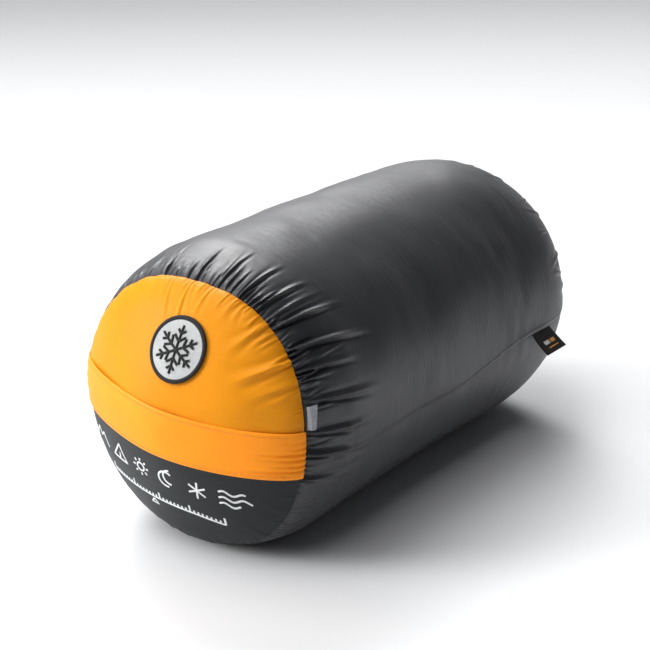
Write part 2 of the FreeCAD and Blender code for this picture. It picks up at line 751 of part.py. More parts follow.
# The hood's two lips are at the heart of the roll; each holds a run of its drawcord.
lip = 2.25                                    # each lip's distance from their middle
hood_x = roll_point(0, 0, 0, 0).x - 0.7


def hood_lip_foot(side, along):
    return Vector(hood_x + side * lip, along, axis_z)


def hood_runs(maker):
    return Part.Compound([maker(side) for side in (1, -1)])


def hood_lip(side):
    foot = hood_lip_foot(side, low_y + 14)
    wide, deep = size("shell_out") - size("lining_in"), size("hem_depth")
    outer = Part.makeBox(wide, edge_y - foot.y, deep,
                         foot - Vector(wide / 2, 0, deep + 0.1))
    channel = Part.makeCylinder(size("hood_cord") + 0.15, edge_y - foot.y + 4,
                                foot - Vector(0, 2, deep / 2 + 0.1), Vector(0, 1, 0))
    return outer.cut(channel)


def hood_cord(side):
    foot = hood_lip_foot(side, low_y + 16)
    reach = edge_y + 3 + 2 * size("lock_radius") - 1 - foot.y
    return Part.makeCylinder(size("hood_cord"), reach,
                             foot - Vector(0, 0, size("hem_depth") / 2 + 0.1), Vector(0, 1, 0))


node("hood_hem", feature("hood_hem", hood_runs(hood_lip)))
node("hood_drawcord", feature("hood_drawcord", hood_runs(hood_cord)))
cord_lock("hood_lock", f"{hood_x:.4f}",
          f"{SEAM_Y} + sizes.roll_end + 3 + sizes.lock_radius",
          f"{AXIS_Z} - sizes.hem_depth / 2 - 0.1 - sizes.cord_level")

# Two hanging loops lie in the step beside the foot of the bag.
foot_x = roll_point(HALF_TURNS - 1, 0, HALF_TURNS * math.pi, 0).x


def hanging_loop(start_y):
    """A folded tape, sewn to the foot, seen as a flat ring in the X-Z plane."""
    outside = Part.makeBox(3.2, 8, 12, Vector(foot_x - 1.6, start_y, axis_z - 17.2))
    inside = Part.makeBox(1.8, 10, 10.4, Vector(foot_x - 0.9, start_y - 1, axis_z - 16.4))
    return outside.cut(inside)


node("hanging_loops", feature("hanging_loops", Part.Compound(
    [hanging_loop(seam_y + start) for start in (50, 180)])))


# ------------------------------------------------------------------ zip slider and pull

slider_x = roll_point(ZIP_FIRST, 0, ZIP_FIRST * math.pi, 0).x
half = size("slider_half")
PIVOT_OUT = 6.6        # the pull's pivot, out from the bag's edge
PIVOT_DOWN = -0.4      # and its height against the roll's axis


def slider_block(x0, x1, y0, y1, z0, z1):
    return Part.makeBox(x1 - x0, y1 - y0, z1 - z0, Vector(
        slider_x + x0, edge_y + y0, axis_z + z0))


def slider_shape():
    """Two plates joined by a post past the coils' end, side lips over the coils, a bridge."""
    shape = slider_block(-half, half, 4.4, 5.2, -4, 6)
    shape = shape.fuse(slider_block(-half, half, 0.15, 0.6, -4, 6))
    shape = shape.fuse(slider_block(-1.2, 1.2, 0.15, 5.2, 1.5, 5))
    for side in (-1, 1):
        near, far = sorted((side * 1.95, side * half))
        shape = shape.fuse(slider_block(near, far, 1.6, 5.2, -4, 6))
    bridge = slider_block(-1, 1, 5.2, 8.4, -3, 5)
    bridge = bridge.cut(slider_block(-2, 2, 5.6, 7.6, -1.8, 3.8))
    return shape.fuse(bridge).removeSplitter()


def pull_shape():
    """A flat tab that hangs from a crossbar through the slider's bridge."""
    wide, tall = size("pull_width") / 2, size("pull_length")
    down = PIVOT_DOWN
    tab = slider_block(-wide, wide, PIVOT_OUT - 0.6, PIVOT_OUT + 0.6, down - tall, down - 6.5)
    corners = [e for e in tab.Edges if abs(e.BoundBox.YLength - 1.2) < 1e-6
               and e.BoundBox.ZMax < axis_z + down - 10]
    tab = tab.makeFillet(2.0, corners)
    arms = [slider_block(s - 0.5, s + 0.5, PIVOT_OUT - 0.6, PIVOT_OUT + 0.6, down - 6.6, down)
            for s in (-1.9, 1.9)]
    bar = Part.makeCylinder(0.6, 4.8, Vector(slider_x - 2.4, edge_y + PIVOT_OUT, axis_z + down),
                            Vector(1, 0, 0))
    return tab.fuse(arms + [bar]).removeSplitter()


node("zip_slider", feature("zip_slider", slider_shape()))
node("zip_pull", feature("zip_pull", pull_shape()))


# ------------------------------------------------------------------ check and write

doc.recompute()
for item in doc.Objects:
    if any(word in ("Invalid", "Error") for word in item.State):
        raise RuntimeError(f"{item.Name} failed: {item.State}")
os.makedirs("parts", exist_ok=True)
for label, item in nodes.items():
    shape = item.Shape
    if shape.isNull() or not shape.isValid() or not shape.Solids:
        raise RuntimeError(f"{label} has no valid solid")
    shape.exportStep(f"parts/{label}.step")
print(len(nodes), "sub-parts written")
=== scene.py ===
"""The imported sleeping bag's visible surfaces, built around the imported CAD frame.

Metres throughout. "u" is the distance along the sack from its base seam towards its mouth, and
the angle runs round the sack from +X towards +Z. Points on the base have their own flat
coordinates: p across and q up, turned a little about the sack's axis as the base is.
"""

import json
import math

import bpy
import numpy as np
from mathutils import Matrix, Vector


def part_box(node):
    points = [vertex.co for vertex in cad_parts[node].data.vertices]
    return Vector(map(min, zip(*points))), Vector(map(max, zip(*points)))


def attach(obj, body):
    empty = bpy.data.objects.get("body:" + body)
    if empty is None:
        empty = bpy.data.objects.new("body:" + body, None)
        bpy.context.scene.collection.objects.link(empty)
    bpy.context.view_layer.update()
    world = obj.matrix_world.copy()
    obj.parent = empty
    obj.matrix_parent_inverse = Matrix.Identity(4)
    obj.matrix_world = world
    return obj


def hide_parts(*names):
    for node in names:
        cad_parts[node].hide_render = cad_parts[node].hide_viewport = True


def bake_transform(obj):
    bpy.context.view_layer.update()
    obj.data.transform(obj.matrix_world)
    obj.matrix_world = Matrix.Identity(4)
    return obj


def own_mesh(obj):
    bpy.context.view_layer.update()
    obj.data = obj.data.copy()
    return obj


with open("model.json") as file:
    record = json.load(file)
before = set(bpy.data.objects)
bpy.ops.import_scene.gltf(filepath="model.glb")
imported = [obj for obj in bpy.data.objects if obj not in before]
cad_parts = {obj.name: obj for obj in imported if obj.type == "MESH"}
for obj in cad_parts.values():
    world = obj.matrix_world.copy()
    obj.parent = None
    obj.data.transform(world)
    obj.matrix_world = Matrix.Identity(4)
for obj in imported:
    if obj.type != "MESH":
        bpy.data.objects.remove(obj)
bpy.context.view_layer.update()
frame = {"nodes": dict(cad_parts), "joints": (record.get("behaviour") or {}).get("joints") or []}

MM = 0.001
TAU = 2 * math.pi

# ---------------- camera

CAMERA_AZIMUTH = math.radians(35.5)
CAMERA_RISE = math.radians(20.1)
CAMERA_AWAY = 0.9937
CAMERA_AIM = Vector((0, 0, 0.0765))
CAMERA_LENS = 92.2
CAMERA_SHIFT = (-0.0098, 0.0261)
camera_back = Vector((
    math.sin(CAMERA_AZIMUTH) * math.cos(CAMERA_RISE),
    -math.cos(CAMERA_AZIMUTH) * math.cos(CAMERA_RISE),
    math.sin(CAMERA_RISE),
))
camera_data = bpy.data.cameras.new("camera")
camera_data.sensor_width = 36
camera_data.lens = CAMERA_LENS
camera_data.shift_x, camera_data.shift_y = CAMERA_SHIFT
camera = bpy.data.objects.new("camera", camera_data)
camera.location = CAMERA_AIM + camera_back * CAMERA_AWAY
camera.rotation_euler = camera_back.to_track_quat("Z", "Y").to_euler()
bpy.context.scene.collection.objects.link(camera)
bpy.context.scene.camera = camera

# ---------------- sizes from the frame

wall_low, wall_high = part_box("side_wall")
base_low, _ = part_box("base_lower_panel")
hem_low, hem_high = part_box("mouth_hem")
RADIUS = wall_high[0]
SEAM_Y = wall_low[1]
AXIS_Z = wall_high[2] - RADIUS
BASE_DEPTH = SEAM_Y - base_low[1]
SEAM_RADIUS = 76 * MM
BASE_SHOULDER = 39 * MM
MOUTH_SHOULDER = 227.4 * MM
MOUTH_END = 304.7 * MM
MOUTH_POWER = 3.13
BASE_POWER = 1.5
BASE_SHIFT = 5.7 * MM          # the stuffed base leans this far towards +X
BASE_SHIFT_REACH = 120 * MM
SEAM_REACH = 34 * MM           # the base seam's own shape fades this fast along the wall
GATHERS = 92                   # small gathers round the base seam
BASE_TILT = math.radians(-7.3)
STRAP_TOP = 12.6 * MM
STRAP_FOOT = -14.1 * MM
STRAP_ARCH = 2.5 * MM          # its right end is this much higher than its middle, its left lower
STRAP_CLEAR = 1.1 * MM         # the strap's outer face above the base cloth
STRAP_THICKNESS = 0.9 * MM
STRAP_HEM = 2.2 * MM           # its stitched hems
BADGE_UP = 44 * MM
BADGE_SIDE = 3.4 * MM
BADGE_RADIUS = 16.7 * MM
SEAM_ANGLE = math.radians(-11)
side_joint = next(j for j in frame["joints"] if j["name"] == "side_label_bend")
side_pivot = np.array(side_joint["pos_m"], float)
LABEL_ANGLE = math.atan2(side_pivot[2] - AXIS_Z, side_pivot[0])
LABEL_ALONG = side_pivot[1] - SEAM_Y
care_low, care_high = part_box("care_label")
CARE_TALL = 0.9 * (care_high[2] - care_low[2])
CARE_DROP = 3.5 * MM           # its middle is this much below its CAD solid's
CARE_LENGTH = 5.0 * MM
CARE_ANGLE = math.asin(((care_low[2] + care_high[2]) / 2 - CARE_DROP - AXIS_Z) / SEAM_RADIUS)


# ---------------- mesh helpers

TUBE_TIP = 0.35                # a thin tube's ends, as a share of its radius


def smoothstep(x):
    x = np.clip(x, 0, 1)
    return x * x * (3 - 2 * x)


def noise(rows, columns, across, around, seed):
    """Smooth noise in -1..1 at points given in lattice cells; the second coordinate wraps."""
    table = np.random.default_rng(seed).uniform(-1, 1, (rows + 2, columns))
    i = np.clip(np.floor(across).astype(int), 0, rows)
    j = np.floor(around).astype(int)
    fi, fj = smoothstep(across - i), smoothstep(around - j)
    j0, j1 = j % columns, (j + 1) % columns
    low = table[i, j0] * (1 - fj) + table[i, j1] * fj
    high = table[i + 1, j0] * (1 - fj) + table[i + 1, j1] * fj
    return low * (1 - fi) + high * fi


def cloth_noise(u, angle, pitch_u, count, seed):
    """Noise over the wall: cells pitch_u long, count of them round the sack."""
    rows = int(0.5 / pitch_u)
    return noise(rows, count, (u + 0.05) / pitch_u, (angle / TAU) * count, seed)


def ring_noise(angle, count, seed):
    """Noise round a ring, in count cells."""
    return noise(1, count, np.zeros_like(angle), angle / TAU * count, seed)


def smooth_faces(mesh):
    mesh.polygons.foreach_set("use_smooth", np.ones(len(mesh.polygons), bool))


def grid_mesh(name, points, uvs, wrap=False, flip=False):
    """A mesh from a (rows, columns, 3) grid, with a UV map in metres for the weave."""
    rows, columns = points.shape[:2]
    index = np.arange(rows * columns).reshape(rows, columns)
    if wrap:
        index = np.concatenate([index, index[:, :1]], axis=1)
        uvs = np.concatenate([uvs, uvs[:, :1] + np.array([TAU * RADIUS, 0])], axis=1)
    a, b = index[:-1, :-1], index[:-1, 1:]
    c, d = index[1:, 1:], index[1:, :-1]
    faces = np.stack([a, b, c, d], -1).reshape(-1, 4)
    corner = np.stack([uvs[:-1, :-1], uvs[:-1, 1:], uvs[1:, 1:], uvs[1:, :-1]], 2).reshape(-1, 2)
    if flip:
        faces = faces[:, ::-1]
        corner = corner.reshape(-1, 4, 2)[:, ::-1].reshape(-1, 2)
    mesh = bpy.data.meshes.new(name)
    mesh.vertices.add(rows * columns)
    mesh.vertices.foreach_set("co", points.reshape(-1).astype(np.float32))
    mesh.loops.add(faces.size)
    mesh.loops.foreach_set("vertex_index", faces.reshape(-1).astype(np.int32))
    mesh.polygons.add(len(faces))
    mesh.polygons.foreach_set("loop_start", np.arange(0, faces.size, 4, dtype=np.int32))
    mesh.update(calc_edges=True)
    smooth_faces(mesh)
    layer = mesh.uv_layers.new(name="cloth")
    layer.data.foreach_set("uv", corner.reshape(-1).astype(np.float32))
    mesh.validate()
    return mesh


def piece(name, mesh, body, material, replaced=()):
    """Puts a finished mesh in the scene as a piece of the object."""
    item = bpy.data.objects.new(name, mesh)
    bpy.context.scene.collection.objects.link(item)
    if material is not None:
        mesh.materials.append(material)
    if body is not None:
        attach(item, body)
    for node in replaced:
        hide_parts(node)
    return item


def thicken(item, thickness, offset=-1):
    """Gives a sheet its thickness and keeps the result as its mesh."""
    modifier = item.modifiers.new("cloth thickness", "SOLIDIFY")
    modifier.thickness = thickness
    modifier.offset = offset
    modifier.use_even_offset = False
    bpy.context.view_layer.update()
    evaluated = item.evaluated_get(bpy.context.evaluated_depsgraph_get())
    mesh = bpy.data.meshes.new_from_object(evaluated)
    item.modifiers.clear()
    item.data = mesh
    return item


def tube_mesh(name, path, radius, sides):
    """A round bar along a path of points, narrowed at its two ends."""
    path = np.asarray(path, float)
    count = len(path)
    ahead = np.gradient(path, axis=0)
    ahead /= np.linalg.norm(ahead, axis=1)[:, None]
    side = np.cross(ahead[0], [0.31, 0.17, 0.93])
    side /= np.linalg.norm(side)
    points = np.zeros((count, sides, 3))
    turn = np.linspace(0, TAU, sides, endpoint=False)
    for i in range(count):
        side = side - ahead[i] * side.dot(ahead[i])
        side /= np.linalg.norm(side)
        up = np.cross(ahead[i], side)
        r = radius if 0 < i < count - 1 else radius * TUBE_TIP
        ring = np.cos(turn)[:, None] * side + np.sin(turn)[:, None] * up
        points[i] = path[i] + r * ring
    vertices = points.reshape(-1, 3)
    faces = []
    for i in range(count - 1):
        for k in range(sides):
            n, m = i + 1, (k + 1) % sides
            faces.append((i * sides + k, i * sides + m, n * sides + m, n * sides + k))
    faces.append(tuple(range(sides))[::-1])
    faces.append(tuple((count - 1) * sides + k for k in range(sides)))
    mesh = bpy.data.meshes.new(name)
    mesh.from_pydata([tuple(v) for v in vertices], [], faces)
    smooth_faces(mesh)
    return mesh


def joined(name, meshes):
    """One mesh from several, so that many stitches are one piece."""
    vertices, faces, start = [], [], 0
    for part in meshes:
        vertices += [tuple(v.co) for v in part.vertices]
        faces += [tuple(start + k for k in polygon.vertices) for polygon in part.polygons]
        start += len(part.vertices)
        bpy.data.meshes.remove(part)
    mesh = bpy.data.meshes.new(name)
    mesh.from_pydata(vertices, [], faces)
    smooth_faces(mesh)
    return mesh


# ---------------- materials

class Nodes:
    """A material's node tree, with short calls for the nodes that cloth needs."""

    def __init__(self, name):
        self.material = bpy.data.materials.new(name)
        self.material.use_nodes = True
        self.tree = self.material.node_tree
        self.shader = next(n for n in self.tree.nodes if n.type == "BSDF_PRINCIPLED")

    def add(self, kind, inputs=(), **settings):
        node = self.tree.nodes.new(kind)
        for key, value in settings.items():
            setattr(node, key, value)
        for key, value in dict(inputs).items():
            self.feed(node.inputs[key], value)
        return node

    def feed(self, socket, value):
        if isinstance(value, bpy.types.NodeSocket):
            self.tree.links.new(value, socket)
        else:
            socket.default_value = value

    def math(self, operation, *values):
        node = self.add("ShaderNodeMath", enumerate(values), operation=operation)
        return node.outputs[0]

    def cloth_uv(self):
        return self.add("ShaderNodeUVMap", uv_map="cloth").outputs["UV"]

    def object_place(self):
        return self.add("ShaderNodeTexCoord").outputs["Object"]

    def stretched(self, vector, scale, turn=0.0):
        node = self.add("ShaderNodeMapping", {"Vector": vector})
        node.inputs["Scale"].default_value = scale
        node.inputs["Rotation"].default_value = (0, 0, turn)
        return node.outputs["Vector"]

    def noise(self, vector, scale, detail=2.0, rough=0.5):
        node = self.add("ShaderNodeTexNoise", {
            "Vector": vector, "Scale": scale, "Detail": detail, "Roughness": rough})
        return node.outputs["Fac"]

    def ramp(self, factor, *stops):
        node = self.add("ShaderNodeValToRGB", {"Fac": factor})
        elements = node.color_ramp.elements
        while len(elements) < len(stops):
            elements.new(0.5)
        for element, (at, colour) in zip(elements, stops):
            element.position = at
            element.color = (*colour, 1)
        return node.outputs["Color"]

    def bump(self, height, distance, strength=1.0, normal=None):
        inputs = {"Height": height, "Distance": distance, "Strength": strength}
        if normal is not None:
            inputs["Normal"] = normal
        return self.add("ShaderNodeBump", inputs).outputs["Normal"]

    def set(self, **values):
        for key, value in values.items():
            self.feed(self.shader.inputs[key.replace("_", " ")], value)
        return self


def scaled(colour, k):
    return tuple(min(1.0, c * k) for c in colour)


HEAVY_THREAD = 0.35 * MM
WEAVE_PITCH = 0.42 * MM


def nylon(name, colour, rough=0.42, sheen=0.15, ripstop=(5.0, 5.0), crinkle=1.0, line=0.5,
          shine=0.5):
    """Calendered ripstop nylon: plain weave, a grid of heavier threads, and fine crinkles."""
    n = Nodes(name)
    uv = n.cloth_uv()
    x = n.add("ShaderNodeSeparateXYZ", {"Vector": uv})
    wide, long = ripstop[0] * MM, ripstop[1] * MM
    heavy = []
    for output, pitch in (("X", wide), ("Y", long)):
        place = n.math("FRACT", n.math("DIVIDE", x.outputs[output], pitch))
        near = n.math("ABSOLUTE", n.math("SUBTRACT", place, 0.5))
        heavy.append(n.math("SMOOTH_MIN", n.math("MULTIPLY", near, -pitch / HEAVY_THREAD),
                            0.0, 0.4))
    grid = n.math("MAXIMUM", n.math("ADD", heavy[0], 1.0), n.math("ADD", heavy[1], 1.0))
    grid = n.math("MAXIMUM", grid, 0.0)
    threads = n.stretched(uv, (TAU / WEAVE_PITCH, TAU / WEAVE_PITCH, 1))
    t = n.add("ShaderNodeSeparateXYZ", {"Vector": threads})
    weave = n.math("MULTIPLY", n.math("SINE", t.outputs["X"]), n.math("SINE", t.outputs["Y"]))
    across = n.noise(n.stretched(uv, (60, 420, 1)), 1.0, 3.0, 0.55)
    crumple = n.noise(uv, 160.0, 3.0, 0.5)
    broad = n.noise(uv, 28.0, 2.0, 0.5)
    tone = n.math("ADD", n.math("MULTIPLY", broad, 0.7), n.math("MULTIPLY", across, 0.3))
    cloth = n.ramp(tone, (0.3, scaled(colour, 0.93)), (0.7, scaled(colour, 1.07)))
    mixed = n.add("ShaderNodeMix", data_type="RGBA", blend_type="MIX")
    n.feed(mixed.inputs[0], n.math("MULTIPLY", grid, 0.22 * line))
    n.feed(mixed.inputs[6], cloth)
    n.feed(mixed.inputs[7], (*scaled(colour, 0.72), 1))
    normal = n.bump(across, 0.16 * MM * crinkle, 0.6)
    normal = n.bump(crumple, 0.12 * MM * crinkle, 0.5, normal)
    normal = n.bump(grid, 0.05 * MM, 0.5 * line, normal)
    normal = n.bump(weave, 0.02 * MM, 0.4, normal)
    rough_map = n.math("ADD", n.math("MULTIPLY", n.noise(uv, 70.0), 0.10), rough - 0.05)
    n.set(Base_Color=mixed.outputs[2], Roughness=rough_map, Normal=normal,
          Sheen_Weight=sheen, Sheen_Roughness=0.45, Specular_IOR_Level=shine)
    return n.material


def tape(name, colour, pitch=0.5, rough=0.7, sheen=0.3, shine=0.35):
    """Woven tape or twill, from the piece's place in the frame, so that it needs no UVs."""
    n = Nodes(name)
    place = n.object_place()
    k = 1 / (pitch * MM)
    slant = n.stretched(place, (k * 4.4, k * 6.3, k * 4.9), 0.6)
    s = n.add("ShaderNodeSeparateXYZ", {"Vector": slant})
    rib = n.math("SINE", n.math("ADD", s.outputs["X"], n.math("ADD", s.outputs["Y"],
                                                             s.outputs["Z"])))
    fuzz = n.noise(place, 900.0, 3.0, 0.6)
    broad = n.noise(place, 60.0, 2.0, 0.5)
    tone = n.math("ADD", n.math("MULTIPLY", fuzz, 0.5), n.math("MULTIPLY", broad, 0.5))
    cloth = n.ramp(tone, (0.3, scaled(colour, 0.8)), (0.7, scaled(colour, 1.2)))
    normal = n.bump(rib, 0.05 * MM, 0.5)
    normal = n.bump(fuzz, 0.08 * MM, 0.5, normal)
    n.set(Base_Color=cloth, Roughness=rough, Normal=normal, Sheen_Weight=sheen,
          Sheen_Roughness=0.5, Specular_IOR_Level=shine)
    return n.material


def braid(name, colour):
    """Braided cord: slanting crossed ribs, darker between the ribs and lighter on their tops:
    painted shade in the grooves and painted highlight on the crests.
    """
    n = Nodes(name)
    place = n.object_place()
    ribs = []
    for slant in ((3600, 2600, 3600), (-3600, 2600, -3600)):
        s = n.add("ShaderNodeSeparateXYZ", {"Vector": n.stretched(place, slant)})
        ribs.append(n.math("SINE", n.math("ADD", s.outputs["Y"], n.math(
            "ADD", s.outputs["X"], s.outputs["Z"]))))
    height = n.math("MAXIMUM", ribs[0], ribs[1])
    # colour follows the ribs' height: painted shade in the grooves, painted highlight on the
    # crests
    tone = n.ramp(height, (0.0, scaled(colour, 0.5)), (1.0, scaled(colour, 1.4)))
    n.set(Base_Color=tone, Roughness=0.65, Normal=n.bump(height, 0.15 * MM, 0.8),
          Sheen_Weight=0.2)
    return n.material


def plastic(name, colour, rough=0.42):
    """Moulded plastic with a fine spark-eroded grain and slight handling wear."""
    n = Nodes(name)
    place = n.object_place()
    grain = n.noise(place, 2600.0, 3.0, 0.6)
    wear = n.noise(place, 240.0, 3.0, 0.6)
    tone = n.ramp(wear, (0.35, scaled(colour, 0.85)), (0.75, scaled(colour, 1.5)))
    rough_map = n.math("ADD", n.math("MULTIPLY", wear, 0.2), rough - 0.1)
    n.set(Base_Color=tone, Roughness=rough_map, Normal=n.bump(grain, 0.03 * MM, 0.5))
    return n.material


def metal(name, colour, rough=0.3, metallic=1.0):
    """Plated or enamelled metal with fine drawn lines."""
    n = Nodes(name)
    place = n.object_place()
    drawn = n.noise(n.stretched(place, (300, 2400, 300)), 1.0, 3.0, 0.6)
    tone = n.ramp(drawn, (0.3, scaled(colour, 0.8)), (0.7, scaled(colour, 1.1)))
    rough_map = n.math("ADD", n.math("MULTIPLY", drawn, 0.2), rough - 0.1)
    n.set(Base_Color=tone, Metallic=metallic, Roughness=rough_map,
          Normal=n.bump(drawn, 0.02 * MM, 0.4))
    return n.material


def wadding(name, colour):
    """Lofted polyester fill."""
    n = Nodes(name)
    place = n.object_place()
    fluff = n.noise(place, 500.0, 6.0, 0.7)
    tone = n.ramp(fluff, (0.3, scaled(colour, 0.75)), (0.7, scaled(colour, 1.15)))
    n.set(Base_Color=tone, Roughness=0.95, Normal=n.bump(fluff, 0.8 * MM, 0.8),
          Sheen_Weight=0.4)
    return n.material


GREY = (0.017, 0.018, 0.022)
YELLOW = (0.70, 0.25, 0.007)
ORANGE = (0.96, 0.29, 0.013)
CHARCOAL = (0.009, 0.012, 0.013)
BLACK = (0.006, 0.006, 0.007)
PALE = (0.62, 0.62, 0.60)

wall_cloth = nylon("wall nylon", GREY, rough=0.44, sheen=0.10, ripstop=(5.2, 2.6),
                   crinkle=2.2, line=0.6, shine=0.58)
upper_cloth = nylon("upper nylon", YELLOW, rough=0.46, sheen=0.0, ripstop=(4.4, 2.2),
                    shine=0.1)
lower_cloth = nylon("lower nylon", CHARCOAL, rough=0.5, sheen=0.0, ripstop=(4.4, 4.4), line=0.3,
                    shine=0.3)
strap_cloth = nylon("strap nylon", ORANGE, rough=0.5, sheen=0.0, ripstop=(6, 6), line=0.2,
                    shine=0.15)
flap_cloth = nylon("flap nylon", GREY, rough=0.45, crinkle=2.0)
twill = tape("badge twill", (0.42, 0.43, 0.43), pitch=0.55)
thread = tape("black thread", BLACK, pitch=0.4, rough=0.6, sheen=0.08, shine=0.25)
orange_thread = tape("orange thread", scaled(ORANGE, 0.8), pitch=0.3, rough=0.5)
grey_thread = tape("grey thread", scaled(GREY, 1.1), pitch=0.3, rough=0.5)
satin = tape("satin ribbon", (0.25, 0.26, 0.29), pitch=0.25, rough=0.35, shine=0.6)
damask = tape("damask ribbon", BLACK, pitch=0.3, rough=0.6, sheen=0.1, shine=0.25)
white_thread = tape("white thread", PALE, pitch=0.3)
label_orange = tape("label orange thread", (0.75, 0.28, 0.03), pitch=0.3)
white_print = tape("white print", (0.72, 0.74, 0.75), pitch=0.4, rough=0.6, sheen=0.0)


# ---------------- the wall's surface

def profile():
    """Points (u, radius) of the wall from the base seam to the mouth, evenly spaced."""
    u = np.linspace(0, MOUTH_SHOULDER, 400)
    pull = np.clip(1 - u / BASE_SHOULDER, 0, 1)
    r = RADIUS - (RADIUS - SEAM_RADIUS) * pull ** 2
    a = np.linspace(0, math.pi / 2, 400)[1:]
    s = np.sin(a)
    cap_r = RADIUS * np.clip(1 - s ** MOUTH_POWER, 0, 1) ** (1 / MOUTH_POWER)
    u = np.concatenate([u, MOUTH_SHOULDER + (MOUTH_END - MOUTH_SHOULDER) * s])
    r = np.concatenate([r, cap_r])
    arc = np.concatenate([[0], np.cumsum(np.hypot(np.diff(u), np.diff(r)))])
    return arc, u, r


ARC, ARC_U, ARC_R = profile()
MOUTH_LIP = 17.5 * MM                       # radius at which the wall runs into the hem
arc_end = float(np.interp(-MOUTH_LIP, -ARC_R[400:], ARC[400:]))


def wrap(angle):
    return (angle + math.pi) % TAU - math.pi


class Folds:
    """Folds that run along the cloth from a seam, each a thin crest that fades with distance."""

    def __init__(self, seed):
        self.random = np.random.default_rng(seed)
        self.rows = []

    def add(self, angle, length, height, width, lean, bend=0.0, start=0.0):
        self.rows.append((angle, length, height, width, lean, bend, start))

    def place(self, *rows):
        """Single folds, in degrees and millimetres, with how far from the seam each starts."""
        for degrees, long, tall, wide, lean, start in rows:
            self.add(math.radians(degrees), long * MM, tall * MM, wide * MM, lean,
                     start=start * MM)

    def scatter(self, count, length, height, width, strength, lean=0.12):
        """Random folds all round, scaled by strength(angle)."""
        pick = self.random.uniform
        for angle in self.random.permutation(count) * TAU / count:
            angle += pick(-0.5, 0.5) * TAU / count
            k = strength(angle)
            long = pick(*length) * (0.6 + 0.4 * k)
            self.add(angle, long, pick(*height) * k, pick(*width), pick(-lean, lean),
                     pick(-1, 1) * 0.9)

    def height(self, along, angle, radius):
        """The folds' height at points along the cloth, at an angle and radius. Each is a
        pinched crest with a groove beside it."""
        along, angle, radius = np.broadcast_arrays(along, angle, radius)
        total = np.zeros(along.shape)
        for centre, length, height, width, lean, bend, start in self.rows:
            reach = (abs(lean) + 0.1) * length + 7 * width
            x = along - start
            near = (x > -3 * MM) & (x < length)
            near &= np.abs(wrap(angle - centre)) * radius < reach
            x = x[near]
            away = wrap(angle[near] - centre) * radius[near] - lean * x - bend * x * x
            ramp = 18 * MM if start else 4 * MM
            fade = smoothstep((length - x) / (0.8 * length)) * smoothstep((x + 3 * MM) / ramp)
            wide = width * (0.5 + 0.9 * np.clip(x / length, 0, 1))
            t = away / wide
            crest = np.exp(-np.abs(t) ** 1.35)
            groove = 0.75 * np.exp(-(t + 1.7) ** 2) + 0.35 * np.exp(-((t - 1.9) / 1.1) ** 2)
            total[near] += height * fade * (crest - groove)
        return total


def from_degrees(angle, width):
    """A soft bump of strength about an angle, for where folds gather."""
    centre, spread = math.radians(angle), math.radians(width)
    return lambda x: np.exp(-(wrap(x - centre) / spread) ** 2)


right_side = from_degrees(42, 34)


def seam_strength(angle):
    return 0.34 + 0.9 * right_side(angle)


seam_folds = Folds(11)
seam_folds.scatter(120, (8 * MM, 26 * MM), (0.7 * MM, 1.7 * MM), (0.65 * MM, 1.3 * MM),
                   seam_strength)
seam_folds.scatter(36, (20 * MM, 52 * MM), (0.7 * MM, 1.8 * MM), (0.8 * MM, 1.5 * MM),
                   seam_strength)
seam_folds.place(
    (47, 60, 3.6, 1.25, -0.10, 0), (37, 74, 3.8, 1.3, -0.16, 0), (57, 46, 2.8, 1.1, -0.05, 0),
    (28, 52, 2.6, 1.2, -0.14, 0), (16, 70, 2.6, 1.6, -0.16, 0), (3, 66, 2.4, 1.8, -0.12, 0),
    (-6, 74, 2.2, 2.2, -0.14, 0), (-17, 60, 1.8, 2.0, -0.12, 0), (66, 42, 2.0, 1.0, 0.0, 0),
    (77, 38, 1.6, 0.9, 0.04, 0), (88, 34, 1.3, 0.9, 0.05, 0), (104, 30, 1.0, 0.9, 0.08, 0),
)

mouth_folds = Folds(23)
mouth_folds.scatter(46, (40 * MM, 100 * MM), (1.2 * MM, 2.8 * MM), (1.6 * MM, 3.0 * MM),
                    lambda angle: 1.0)
mouth_folds.place(             # short creases over the far shoulder
    (12, 34, 0.77, 1.3, 0.2, 62), (24, 40, 1.05, 1.4, -0.2, 54), (33, 28, 0.84, 1.1, 0.1, 66),
    (41, 36, 1.05, 1.3, 0.25, 56), (53, 30, 0.77, 1.2, -0.15, 60), (66, 34, 0.84, 1.4, 0.15, 58),
    (84, 30, 0.7, 1.3, -0.2, 60), (112, 32, 0.7, 1.3, 0.2, 60), (150, 34, 0.77, 1.4, -0.1, 58),
)


def floor_rest(z):
    """Flattens what would go below the floor, with a soft turn."""
    soft = 3 * MM
    return np.where(z > soft, z, np.where(z < -soft, 0, (z + soft) ** 2 / (4 * soft)))


def shift_at(u):
    return BASE_SHIFT * np.clip(1 - np.maximum(u, 0) / BASE_SHIFT_REACH, 0, 1) ** 2


def seam_in(angle):
    """How far the base seam is drawn in from its circle, or out where negative."""
    return (3.2 * from_degrees(0, 24)(angle) + 2.2 * from_degrees(88, 20)(angle)
            + 2.4 * from_degrees(190, 36)(angle) - 2.4 * from_degrees(-52, 18)(angle)) * MM


def seam_wave(angle):
    """How far the base seam leaves its flat circle, along the sack."""
    pulled = 1.6 * from_degrees(0, 30)(angle) + 1.4 * from_degrees(88, 24)(angle)
    return (ring_noise(angle, 9, 5) * 1.6 - pulled) * MM


def seam_angle(arc):
    """Where the lengthwise seam runs: it turns up a little to the side label sewn in it."""
    turned = smoothstep((arc - (LABEL_ALONG - 90 * MM)) / (80 * MM))
    return SEAM_ANGLE + (LABEL_ANGLE - SEAM_ANGLE) * turned


